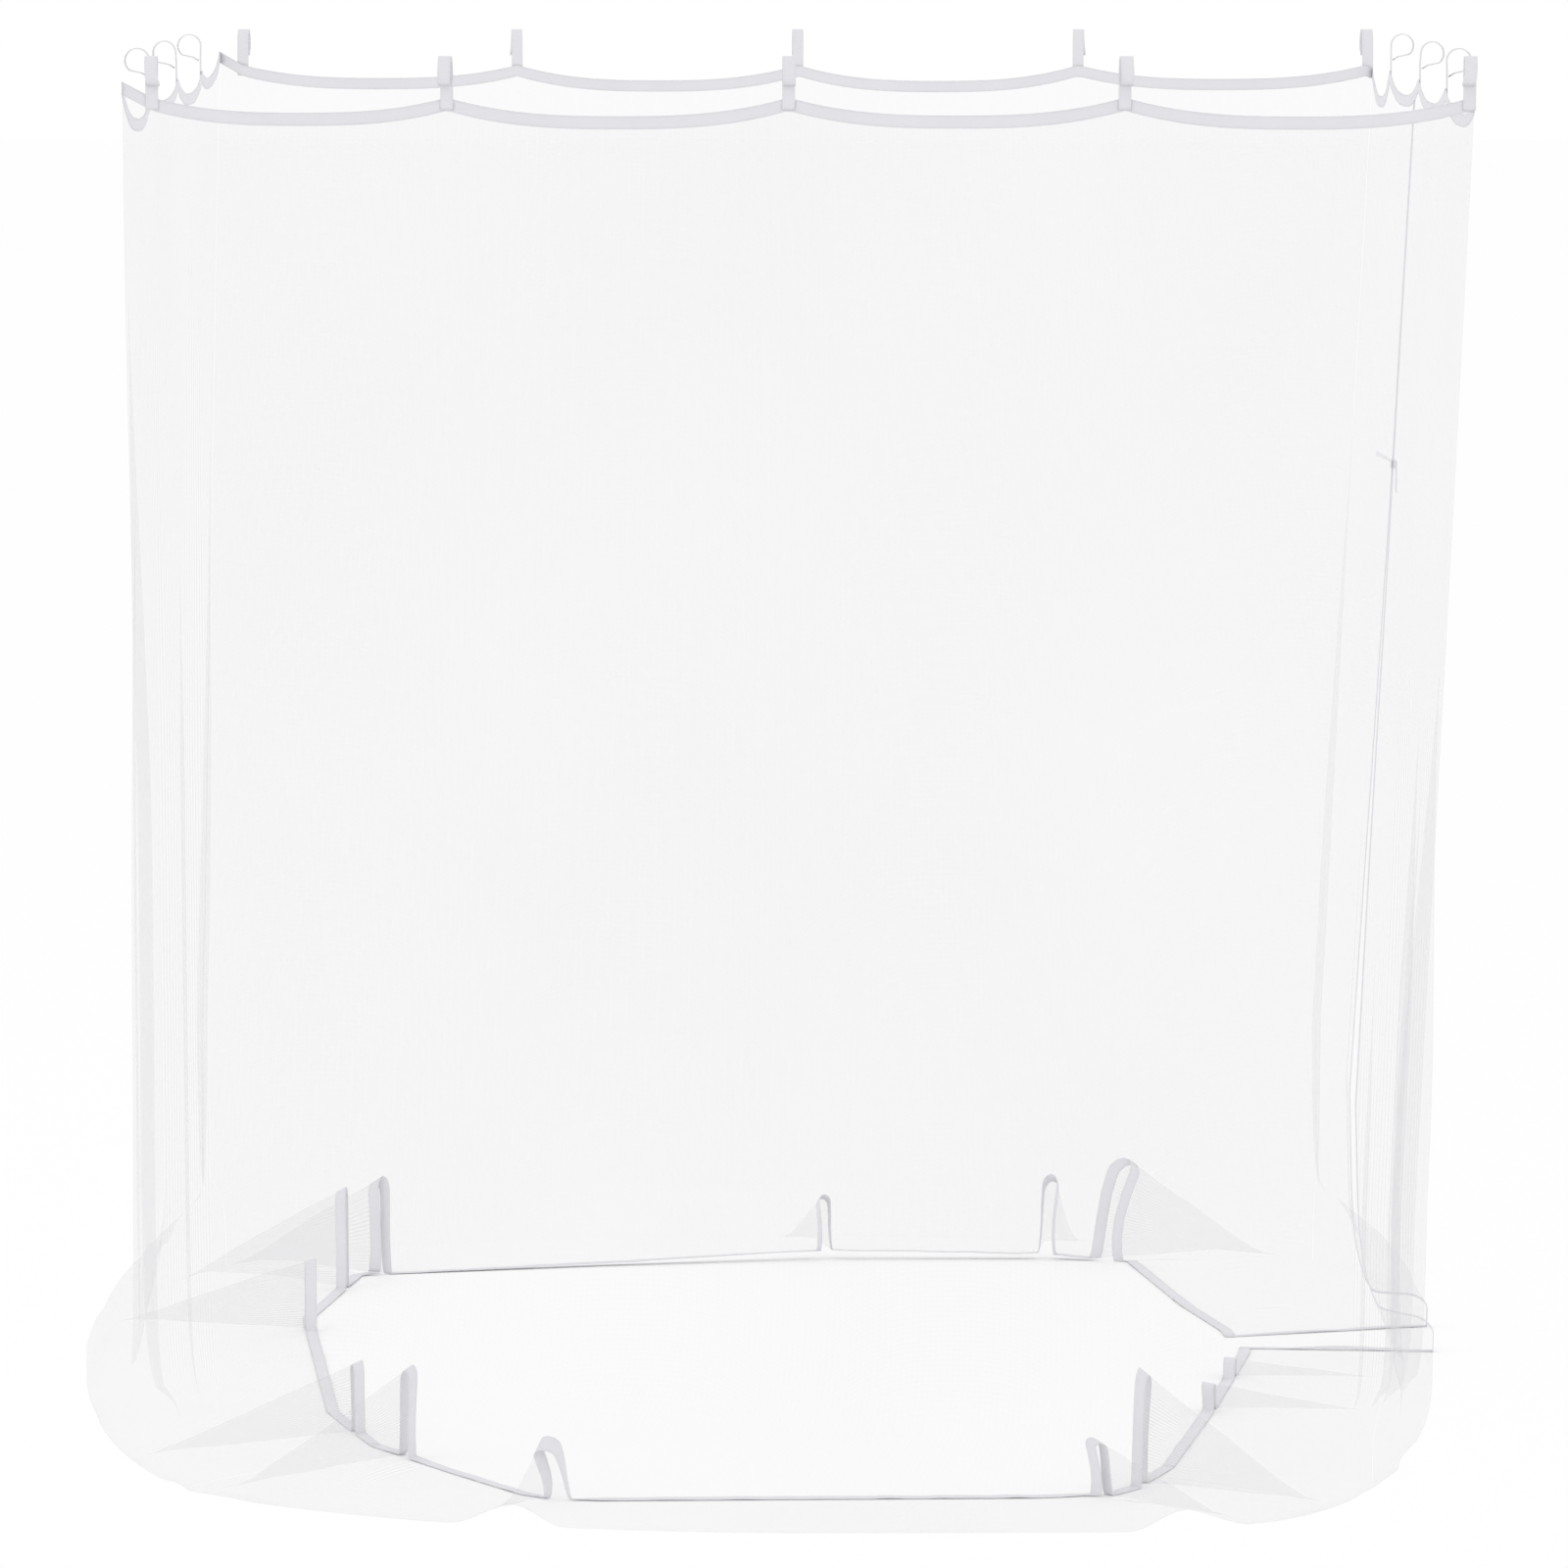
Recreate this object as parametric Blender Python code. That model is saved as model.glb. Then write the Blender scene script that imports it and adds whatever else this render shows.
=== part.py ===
"""A square net curtain for a gazebo: it hangs from sixteen strap loops and its skirt lies folded on the floor."""

from collections import namedtuple

import bmesh
import bpy
import numpy as np
from mathutils import Vector

# Driving dimensions, in metres
RAIL_SPAN = 2.0
RAIL_DEPTH = 2.0426
STRAP_TOP = 2.125
TAPE_WIDTH = 0.019
NET_THICKNESS = 0.0014
TAPE_THICKNESS = 0.0018
STRAP_THICKNESS = 0.0018
LOOP_RADIUS = 0.0185
KNEE = 0.42
GAP = 0.0003
PLEAT_GAP = 0.0018
SEAM_GAP = 0.0026

# The straps are sewn on the outer face of the top tape, and their loops stand outside it, round the rail
STRAP_OFFSET = (TAPE_THICKNESS + STRAP_THICKNESS) / 2 + GAP
WALL_X = RAIL_SPAN / 2 - STRAP_OFFSET - LOOP_RADIUS
WALL_Y = RAIL_DEPTH / 2 - STRAP_OFFSET - LOOP_RADIUS

# The middle of the footprint lies at the origin
SHIFT = (0.049, -0.02)

# Places round the net, from the zip past the front right corner and back to the zip. Each has its plan
# position at the top edge, at knee height, at the outer fold on the floor and at the hem, then the height
# of the bulge over the fold and how far the hem is off the floor.
Place = namedtuple("Place", "top knee rim hem bulge lift")
PLACES = (
    Place((WALL_X, 0.10), (0.897, 0.09), (1.035, 0.190), (0.722, 0.216), 0.070, 0.0),
    Place((WALL_X, 0.04), (0.898, 0.031), (1.030, 0.131), (0.716, 0.158), 0.072, 0.0),
    Place((WALL_X, -0.49), (0.912, -0.46), (0.985, -0.340), (0.640, -0.290), 0.100, 0.0),
    Place((WALL_X, -WALL_Y), (0.912, -0.985), (0.855, -0.925), (0.550, -0.760), 0.150, 0.0),
    Place((0.72, -WALL_Y), (0.690, -1.000), (0.690, -1.165), (0.476, -0.962), 0.120, 0.0),
    Place((0.47, -WALL_Y), (0.455, -1.005), (0.450, -1.240), (0.340, -0.978), 0.105, 0.0),
    Place((-0.01, -WALL_Y), (-0.010, -1.010), (0.010, -1.245), (-0.010, -0.987), 0.100, 0.0),
    Place((-0.51, -WALL_Y), (-0.500, -1.010), (-0.440, -1.190), (-0.372, -1.000), 0.100, 0.0),
    Place((-0.75, -WALL_Y), (-0.740, -1.005), (-0.680, -1.100), (-0.515, -0.790), 0.120, 0.0),
    Place((-WALL_X, -WALL_Y), (-0.978, -0.992), (-0.915, -0.925), (-0.640, -0.590), 0.150, 0.0),
    Place((-WALL_X, -0.47), (-0.995, -0.450), (-1.085, -0.400), (-0.716, -0.330), 0.110, 0.0),
    Place((-WALL_X, 0.065), (-1.005, 0.070), (-1.140, 0.080), (-0.760, 0.080), 0.100, 0.0),
    Place((-WALL_X, 0.585), (-1.020, 0.570), (-1.120, 0.560), (-0.803, 0.470), 0.105, 0.0),
    Place((-WALL_X, WALL_Y), (-1.028, 1.015), (-0.985, 0.980), (-0.742, 0.884), 0.140, 0.0),
    Place((-0.474, WALL_Y), (-0.480, 1.070), (-0.500, 1.235), (-0.340, 0.974), 0.110, 0.004),
    Place((0.003, WALL_Y), (0.000, 1.080), (-0.020, 1.285), (0.048, 1.045), 0.105, 0.014),
    Place((0.479, WALL_Y), (0.460, 1.070), (0.470, 1.234), (0.430, 1.044), 0.112, 0.008),
    Place((WALL_X, WALL_Y), (0.905, 1.018), (0.895, 1.030), (0.572, 1.020), 0.140, 0.0),
    Place((WALL_X, 0.62), (0.905, 0.640), (1.030, 0.680), (0.643, 0.600), 0.100, 0.0),
    Place((WALL_X, 0.16), (0.898, 0.258), (1.041, 0.456), (0.699, 0.360), 0.072, 0.0),
    Place((WALL_X, 0.10), (0.897, 0.200), (1.042, 0.400), (0.703, 0.303), 0.070, 0.0),
)
CORNERS = (3, 9, 13, 17)

# Points where the top tape is held up, by run along the top edge: its height, the drop of the scallop that
# follows, and whether a strap is sewn there
Hold = namedtuple("Hold", "top height drop strap")
HOLDS = (
    Hold((WALL_X, 0.02), 2.056, 0.030, True),
    Hold((WALL_X, -0.49), 2.056, 0.030, True),
    Hold((0.972, -WALL_Y), 2.054, 0.027, True),
    Hold((0.473, -WALL_Y), 2.055, 0.026, True),
    Hold((-0.014, -WALL_Y), 2.055, 0.027, True),
    Hold((-0.509, -WALL_Y), 2.055, 0.022, True),
    Hold((-0.936, -WALL_Y), 2.055, 0.0, True),
    Hold((-WALL_X, -WALL_Y), 2.078, 0.050, False),
    Hold((-WALL_X, -0.47), 2.056, 0.026, True),
    Hold((-WALL_X, 0.065), 2.056, 0.030, True),
    Hold((-WALL_X, 0.585), 2.056, 0.024, True),
    Hold((-WALL_X, WALL_Y), 2.078, 0.0, False),
    Hold((-0.940, WALL_Y), 2.055, 0.022, True),
    Hold((-0.474, WALL_Y), 2.055, 0.026, True),
    Hold((0.003, WALL_Y), 2.055, 0.027, True),
    Hold((0.479, WALL_Y), 2.055, 0.024, True),
    Hold((0.971, WALL_Y), 2.056, 0.048, True),
    Hold((WALL_X, 0.62), 2.056, 0.032, True),
)

# Soft upright folds of the walls: run, width, depth outwards, where they start and are full, and the share
# of the depth that is left at the fold on the floor
Fold = namedtuple("Fold", "run width depth start full at_rim")
FOLDS = (
    Fold(0.52, 0.30, -0.012, 1.60, 0.60, 0.0),
    Fold(0.88, 0.10, -0.020, 1.30, 0.50, 0.3),
    Fold(0.98, 0.07, 0.024, 1.30, 0.45, 0.2),
    Fold(1.05, 0.06, -0.034, 1.40, 0.45, 0.0),
    Fold(1.14, 0.05, -0.018, 1.20, 0.45, 0.5),
    Fold(1.49, 0.09, -0.020, 0.55, 0.20, 7.0),
    Fold(1.80, 0.34, 0.012, 1.30, 0.60, 0.0),
    Fold(2.30, 0.40, -0.014, 1.35, 0.60, 0.0),
    Fold(2.57, 0.09, -0.024, 0.55, 0.20, 6.2),
    Fold(2.78, 0.26, 0.012, 1.20, 0.60, 0.0),
    Fold(2.98, 0.06, -0.034, 2.02, 0.90, 0.3),
    Fold(3.09, 0.06, -0.030, 2.02, 0.90, 0.3),
    Fold(3.34, 0.12, 0.016, 1.90, 0.70, 0.0),
    Fold(4.35, 0.40, 0.014, 1.60, 0.60, 0.0),
    Fold(4.92, 0.12, -0.022, 1.70, 0.60, 0.2),
    Fold(5.12, 0.10, -0.020, 1.90, 0.60, 0.2),
    Fold(5.62, 0.36, 0.014, 1.20, 0.55, 0.0),
    Fold(6.24, 0.30, -0.012, 1.20, 0.55, 0.0),
    Fold(6.93, 0.10, 0.020, 1.90, 0.60, 0.2),
    Fold(7.10, 0.09, -0.022, 1.90, 0.60, 0.2),
    Fold(7.55, 0.26, 0.012, 1.40, 0.60, 0.0),
)

# Standing pleats of the skirt: run, height at the hem, half width of the standing loop, how much cloth on
# either side goes into it, where the ridge starts between the outer fold and the hem, and its lean
Pleat = namedtuple("Pleat", "run height half spread start lean")
PLEATS = (
    Pleat(0.30, 0.030, 0.012, 0.050, 0.25, -0.010),
    Pleat(0.62, 0.045, 0.013, 0.060, 0.20, 0.012),
    Pleat(1.27, 0.172, 0.016, 0.085, 0.00, -0.022),
    Pleat(1.42, 0.085, 0.010, 0.050, 0.10, 0.010),
    Pleat(2.56, 0.092, 0.016, 0.070, 0.00, 0.020),
    Pleat(2.96, 0.140, 0.014, 0.075, 0.00, -0.006),
    Pleat(3.26, 0.110, 0.012, 0.065, 0.00, 0.008),
    Pleat(4.50, 0.120, 0.010, 0.065, 0.00, 0.004),
    Pleat(4.93, 0.175, 0.012, 0.080, 0.00, -0.006),
    Pleat(5.11, 0.170, 0.010, 0.055, 0.00, -0.004),
    Pleat(6.05, 0.099, 0.010, 0.055, 0.10, -0.004),
    Pleat(6.53, 0.141, 0.013, 0.065, 0.05, 0.009),
    Pleat(6.87, 0.180, 0.020, 0.085, 0.00, 0.038),
)
# Half of a pleat's section, from its middle to its foot: share of the cloth used, side as a share of the
# half width, and rise as a share of the height
SECTION = ((0.0, 0.0, 1.0), (0.22, 0.95, 0.88), (0.50, 0.80, 0.42), (0.78, 0.90, 0.06), (1.0, None, 0.0))

# The wall's rows above knee height, as shares of its drop, and below it: how far out towards the fold on
# the floor and how high, from the bulge's height to knee height
UPPER_ROWS = (0.0, 0.06, 0.22, 0.40, 0.60, 0.80, 1.0)
LowerRow = namedtuple("LowerRow", "out climb bulge")
LOWER_ROWS = (
    LowerRow(0.06, 0.40, 1.0),
    LowerRow(0.34, 0.03, 1.0),
    LowerRow(0.78, 0.0, 0.86),
    LowerRow(1.0, 0.0, 0.42),
)
# Rows on the floor, from the outer fold to the hem tape
FLOOR_ROWS = (0.0, 0.18, 0.45, 0.72)
SAMPLE = 0.16

SLIDER_HEIGHT = 1.452
DOOR_REACH = 0.55
COIL_WIDTH = 0.0046
ZIP_TAPE_WIDTH = 0.011

ROUND = [Vector(place.top) for place in PLACES]
STEPS = [(b - a).length for a, b in zip(ROUND, ROUND[1:])]
RUNS = np.concatenate([[0.0], np.cumsum(STEPS)])
WHOLE = RUNS[-1]


def column(name):
    """One column of the table of places."""
    return np.array([getattr(place, name) for place in PLACES], float)


def eased(run, values):
    """A value or a position read from the table of places, along a curve with no overshoot."""
    values = values.reshape(len(values), -1)
    at = np.clip(np.searchsorted(RUNS, run, side="right") - 1, 0, len(RUNS) - 2)
    span = RUNS[at + 1] - RUNS[at]
    share = (run - RUNS[at]) / span
    slopes = np.diff(values, axis=0) / np.diff(RUNS)[:, None]
    inner = np.where(slopes[1:] * slopes[:-1] > 0, 2 * slopes[1:] * slopes[:-1], 0)
    inner = inner / np.where(inner != 0, slopes[1:] + slopes[:-1], 1)
    tangents = np.concatenate([slopes[:1], inner, slopes[-1:]])
    start, end = values[at], values[at + 1]
    leave, arrive = tangents[at] * span[:, None], tangents[at + 1] * span[:, None]
    s = share[:, None]
    bend = (s - 1) * s * ((s - 1) * leave + s * arrive)
    return start + (end - start) * s * s * (3 - 2 * s) + bend


def straight(run, values):
    """A position read from the table of places, along straight lines."""
    return np.stack([np.interp(run, RUNS, values[:, k]) for k in range(2)], axis=1)


def run_of(point):
    """How far along the top edge a point of it lies, from the zip."""
    point = Vector(point)
    best = (1.0, 0.0)
    for start, end, begin in zip(ROUND, ROUND[1:], RUNS):
        along = (end - start).normalized()
        step = min(max((point - start).dot(along), 0.0), (end - start).length)
        best = min(best, ((start + along * step - point).length, begin + step))
    return float(best[1])


HOLD_RUNS = np.array([run_of(hold.top) for hold in HOLDS])


def tape_height(run):
    """The middle of the top tape: up at each strap and in a shallow scallop between."""
    starts = np.concatenate([[HOLD_RUNS[-1] - WHOLE], HOLD_RUNS, [HOLD_RUNS[0] + WHOLE]])
    rows = [HOLDS[-1], *HOLDS, HOLDS[0]]
    heights = np.array([row.height for row in rows])
    drops = np.array([row.drop for row in rows])
    at = np.clip(np.searchsorted(starts, run, side="right") - 1, 0, len(starts) - 2)
    share = (run - starts[at]) / (starts[at + 1] - starts[at])
    level = heights[at] + (heights[at + 1] - heights[at]) * share
    return level - drops[at] * 4 * share * (1 - share)


def outwards(run):
    """The level direction that faces out of the net, from the line of its top edge."""
    step = 0.02
    ahead = straight(np.clip(run + step, 0, WHOLE), column("top"))
    behind = straight(np.clip(run - step, 0, WHOLE), column("top"))
    along = ahead - behind
    along /= np.linalg.norm(along, axis=1)[:, None]
    return np.stack([-along[:, 1], along[:, 0]], axis=1)


def folded(run, height, out):
    """How far the upright folds push the cloth out at a height, out being 0 at the knee and 1 at the rim."""
    push = np.zeros(len(run))
    for fold in FOLDS:
        near = np.clip(1 - np.abs(run - fold.run) / fold.width, 0, 1)
        swell = near * near * (3 - 2 * near)
        grown = np.clip((fold.start - height) / (fold.start - fold.full), 0, 1)
        push += fold.depth * swell * (grown * (1 - out) + fold.at_rim * out)
    return push


def on_wall(run, drop):
    """Points of the wall between the top edge, where drop is 0, and the knee, where it is 1."""
    top_height = tape_height(run) - TAPE_WIDTH / 2 - GAP
    height = top_height + (KNEE - top_height) * drop
    top, knee = straight(run, column("top")), straight(run, column("knee"))
    knee[:, 1] -= door(run, KNEE)
    plan = top + (knee - top) * drop
    plan[:, 1] += door(run, height)
    plan += outwards(run) * folded(run, height, np.zeros(len(run)))[:, None]
    return np.column_stack([plan, height])


def door(run, height):
    """How far the back half's zip edge stands off the front half's below the slider."""
    opened = np.clip((SLIDER_HEIGHT - height) / (SLIDER_HEIGHT - KNEE), 0, 1)
    near = np.clip(1 - (WHOLE - run) / DOOR_REACH, 0, 1)
    width = PLACES[-1].knee[1] - PLACES[0].knee[1]
    return width * opened * near


def rim_of(run):
    """The outer fold on the floor, in plan."""
    plan = eased(run, column("rim"))
    return plan + outwards(run) * folded(run, np.zeros(len(run)), np.ones(len(run)))[:, None]


def on_bulge(run, row):
    """Points of the bulge between the knee and the outer fold."""
    knee = on_wall(run, 1.0)[:, :2]
    bulge = eased(run, column("bulge"))[:, 0]
    height = (bulge + (KNEE - bulge) * row.climb) * row.bulge
    plan = knee + (rim_of(run) - knee) * row.out
    return np.column_stack([plan, height])


def on_floor(run, share):
    """Points of the skirt on the floor, from the outer fold, share 0, to the hem, share 1, with its pleats."""
    share = np.broadcast_to(share, run.shape)

    def flat(at):
        return rim_of(at) + (straight(at, column("hem")) - rim_of(at)) * share[:, None]

    plan = flat(run)
    height = NET_THICKNESS / 2 + eased(run, column("lift"))[:, 0] * share**2
    used, side, rise = (np.array([row[k] or 0.0 for row in SECTION]) for k in range(3))
    side[-1] = 0.0
    for pleat in PLEATS:
        grown = np.clip((share - pleat.start) / (1 - pleat.start), 0, 1)
        middle = flat(np.full(len(run), pleat.run))
        away = (run - pleat.run) / pleat.spread
        inside = np.abs(away) < 1
        along = straight(np.full(len(run), pleat.run + pleat.spread), column("hem"))
        along -= straight(np.full(len(run), pleat.run - pleat.spread), column("hem"))
        along /= np.linalg.norm(along, axis=1)[:, None]
        climb = np.interp(np.abs(away), used, rise)
        reach = np.interp(np.abs(away), used[:-1], side[:-1]) * pleat.half * np.sign(away)
        stood = middle + along * (reach + pleat.lean * climb * climb)[:, None]
        mix = np.where(inside, grown, 0)[:, None]
        plan = plan + (stood - plan) * mix
        height = height + np.where(inside, grown * climb * pleat.height, 0)
    return np.column_stack([plan, height])


def hem_share(run, distance):
    """The share of the way to the hem that leaves a distance to go."""
    length = np.linalg.norm(straight(run, column("hem")) - rim_of(run), axis=1)
    return 1 - distance / length


def hem_gap(run):
    """The gap between the net and the hem tape, wider where the cloth is bunched into a pleat."""
    gap = np.full(len(run), GAP + 0.0001)
    for pleat in PLEATS:
        gap = np.where(np.abs(run - pleat.run) < pleat.spread * 1.01, PLEAT_GAP, gap)
    return gap


def spaced(start, end, marks, step):
    """Runs from start to end: the marks between them, and more so that no two are far apart."""
    kept = [start]
    for mark in sorted(marks) + [end]:
        if mark == end or (mark - kept[-1] > 0.006 and end - mark > 0.006):
            gap = mark - kept[-1]
            parts = max(1, int(np.ceil(gap / step)))
            kept += [kept[-1] + gap * (k + 1) / parts for k in range(parts)]
    return kept if len(kept) < 2 or kept[-1] > kept[-2] else kept[:-1]


def wall_marks():
    """Runs where the wall needs a column: its places, straps and upright folds."""
    marks = list(RUNS[1:-1]) + list(HOLD_RUNS)
    for fold in FOLDS:
        marks += [fold.run + fold.width * part for part in (-0.9, -0.45, 0.0, 0.45, 0.9)]
    return marks


def pleat_marks():
    """Runs where the skirt needs a column of its own: the points of each pleat's section."""
    marks = []
    for pleat in PLEATS:
        for used, _, _ in SECTION:
            marks += [pleat.run + pleat.spread * used, pleat.run - pleat.spread * used]
    return marks


def whole_columns(start, end):
    """The wall's columns between two runs, which the top tape shares."""
    marks = [mark for mark in wall_marks() if start < mark < end]
    return spaced(start, end, marks, SAMPLE)


def fine_columns(coarse):
    """The wall's columns with those of the pleats between them."""
    extra = [m for m in pleat_marks() if coarse[0] < m < coarse[-1]]
    extra = [m for m in extra if min(abs(m - c) for c in coarse) > 0.004]
    return sorted(coarse + extra)


def sheet(name, rows, thickness, material):
    """A closed sheet over rows of points, each row with its runs, which hold those of the row above."""
    made = bmesh.new()
    laid = [(list(runs), [made.verts.new(point) for point in points]) for runs, points in rows]
    for (upper_runs, upper), (lower_runs, lower) in zip(laid, laid[1:]):
        for k in range(len(upper) - 1):
            first = lower_runs.index(upper_runs[k])
            last = lower_runs.index(upper_runs[k + 1])
            under = lower[first : last + 1]
            made.faces.new([upper[k], upper[k + 1], *reversed(under)])
    bmesh.ops.triangulate(made, faces=[f for f in made.faces if len(f.verts) > 4])
    mesh = bpy.data.meshes.new(name)
    made.to_mesh(mesh)
    made.free()
    thing = place_object(name, mesh, material)
    solid = thing.modifiers.new("Thickness", "SOLIDIFY")
    solid.thickness = thickness
    solid.offset = 0.0
    solid.use_even_offset = False
    return thing


def place_object(name, mesh, material):
    """An object of a mesh, under the net's one empty."""
    thing = bpy.data.objects.new(name, mesh)
    thing.parent = bpy.data.objects["net_frame"]
    mesh.materials.append(material)
    bpy.context.scene.collection.objects.link(thing)
    return thing


def surface_rows(coarse, fine):
    """All rows of the net between two runs, from the top edge to the edge of the hem tape."""
    run, floor_run = np.array(coarse), np.array(fine)
    rows = [(coarse, on_wall(run, drop)) for drop in UPPER_ROWS]
    rows += [(coarse, on_bulge(run, row)) for row in LOWER_ROWS]
    rows += [(fine, on_floor(floor_run, share)) for share in FLOOR_ROWS]
    edge = hem_share(floor_run, TAPE_WIDTH + hem_gap(floor_run))
    return rows + [(fine, on_floor(floor_run, edge))]


def net_panel(name, start, end, material):
    """One panel of net with its skirt."""
    coarse = whole_columns(start, end)
    sheet(name, surface_rows(coarse, fine_columns(coarse)), NET_THICKNESS, material)


def hem_tape(name, start, end, material):
    """The tape along the hem of one panel, over its pleats."""
    fine = fine_columns(whole_columns(start, end))
    run = np.array(fine)
    inner = on_floor(run, hem_share(run, TAPE_WIDTH))
    outer = on_floor(run, np.ones(len(run)))
    sheet(name, [(fine, inner), (fine, outer)], NET_THICKNESS, material)


def top_tape(name, start, end, material):
    """The tape along the top of one wall; the right wall's runs past the zip."""
    around = whole_columns(start, end)
    if start < 0:
        around = [run - WHOLE for run in whole_columns(start + WHOLE, WHOLE)] + whole_columns(0.0, end)[1:]
    run = np.mod(np.array(around), WHOLE)
    plan = straight(run, column("top"))
    height = tape_height(run)
    rows = [
        (around, np.column_stack([plan, height + TAPE_WIDTH / 2])),
        (around, np.column_stack([plan, height - TAPE_WIDTH / 2])),
    ]
    sheet(name, rows, TAPE_THICKNESS, material)


def zip_tape(name, start, end, material):
    """One tape of the zip, from under the top tape to the hem."""
    ends = [start, end]
    run = np.array(ends)
    rows = surface_rows(ends, ends)[:-1] + [(ends, on_floor(run, np.ones(2)))]
    sheet(name, rows, NET_THICKNESS, material)


def zip_coil(name, material):
    """The closed part of the zip, from under the top tape to the slider."""
    half = COIL_WIDTH / 2
    edge = on_wall(np.zeros(1), 0.0)[0, 2]
    drops = [(edge - height) / (edge - KNEE) for height in (edge, 1.85, 1.65, SLIDER_HEIGHT + 0.008)]
    rows = []
    for drop in drops:
        middle = Vector(on_wall(np.zeros(1), drop)[0])
        rows.append(([0.0, 1.0], [middle + Vector((0, half, 0)), middle - Vector((0, half, 0))]))
    sheet(name, rows, TAPE_THICKNESS, material)


def extruded(name, outline, origin, along, across, up, length, material):
    """A solid of an outline of (across, up) points, extruded both ways from an origin."""
    made = bmesh.new()
    along, across, up = Vector(along), Vector(across), Vector(up)
    near = [made.verts.new(origin + across * a + up * b - along * (length / 2)) for a, b in outline]
    face = made.faces.new(near)
    extrusion = bmesh.ops.extrude_face_region(made, geom=[face])
    moved = [v for v in extrusion["geom"] if isinstance(v, bmesh.types.BMVert)]
    bmesh.ops.translate(made, verts=moved, vec=along * length)
    bmesh.ops.recalc_face_normals(made, faces=made.faces)
    mesh = bpy.data.meshes.new(name)
    made.to_mesh(mesh)
    made.free()
    return place_object(name, mesh, material)


def strap_path(foot):
    """The strap's middle line as (outwards, up) points: up the tape, over the rail and back to itself."""
    centre = STRAP_TOP - STRAP_THICKNESS / 2 - LOOP_RADIUS
    path = [(0.0, foot), (0.0, centre - 0.016)]
    for degrees in range(180, -51, -23):
        turn = np.radians(degrees)
        path.append((LOOP_RADIUS * (1 + np.cos(turn)), centre + LOOP_RADIUS * np.sin(turn)))
    path.append((STRAP_THICKNESS + 0.0012, centre - 0.024))
    return [Vector(point) for point in path]


def strap_outline(path):
    """The strap's section: its middle line thickened to both sides."""
    half = STRAP_THICKNESS / 2
    left, right = [], []
    for k, point in enumerate(path):
        before, after = path[max(k - 1, 0)], path[min(k + 1, len(path) - 1)]
        along = (after - before).normalized()
        side = Vector((-along.y, along.x)) * half
        left.append(point + side)
        right.append(point - side)
    return left + right[::-1]


def strap(name, hold, material):
    """One strap loop, sewn on the outer face of the top tape."""
    x, y = hold.top
    out = Vector((0.0, np.sign(y), 0.0)) if abs(y) == WALL_Y else Vector((np.sign(x), 0.0, 0.0))
    along = Vector((-out.y, out.x, 0.0))
    origin = Vector((*hold.top, 0.0)) + out * STRAP_OFFSET
    outline = strap_outline(strap_path(hold.height - TAPE_WIDTH / 2 + 0.001))
    extruded(name, outline, origin, along, out, (0, 0, 1), TAPE_WIDTH - 0.0005, material)


def slider_and_pulls(materials):
    """The slider, which takes both tapes in its grooves, and a pull on either side of it."""
    edge = on_wall(np.zeros(1), 0.0)[0, 2]
    middle = Vector(on_wall(np.zeros(1), (edge - SLIDER_HEIGHT) / (edge - KNEE))[0])
    wide, thick, groove, web = 0.0065, 0.0045, 0.0015, 0.0021
    half = [(-wide, thick), (-wide, groove), (-web, groove), (-web, -groove), (-wide, -groove), (-wide, -thick)]
    outline = half + [(-a, b) for a, b in reversed(half)]
    x, y, z = (1, 0, 0), (0, 1, 0), (0, 0, 1)
    extruded("zip_slider", outline, middle, z, y, x, 0.015, materials["slider"])
    hang = Vector((thick + GAP + 0.0012, 0, -0.020))
    tab = [(-0.0042, -0.026), (0.0042, -0.026), (0.0034, 0.026), (-0.0034, 0.026)]
    extruded("zip_pull_outer", tab, middle + hang, x, y, z, 0.0024, materials["slider"])
    reach = Vector((-thick - GAP, 0, 0.004))
    flag = [(0.0, -0.001), (-0.022, 0.006), (-0.022, 0.018), (-0.004, 0.010), (0.0, 0.003)]
    extruded("zip_pull_inner", flag, middle + reach, y, x, z, 0.0024, materials["slider"])


def finish(name, colour, roughness, metallic=0.0, alpha=1.0):
    """A plain material for one kind of piece."""
    material = bpy.data.materials.new(name)
    material.use_nodes = True
    shader = material.node_tree.nodes["Principled BSDF"]
    shader.inputs["Base Color"].default_value = (*colour, 1.0)
    shader.inputs["Roughness"].default_value = roughness
    shader.inputs["Metallic"].default_value = metallic
    shader.inputs["Alpha"].default_value = alpha
    return material


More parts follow.
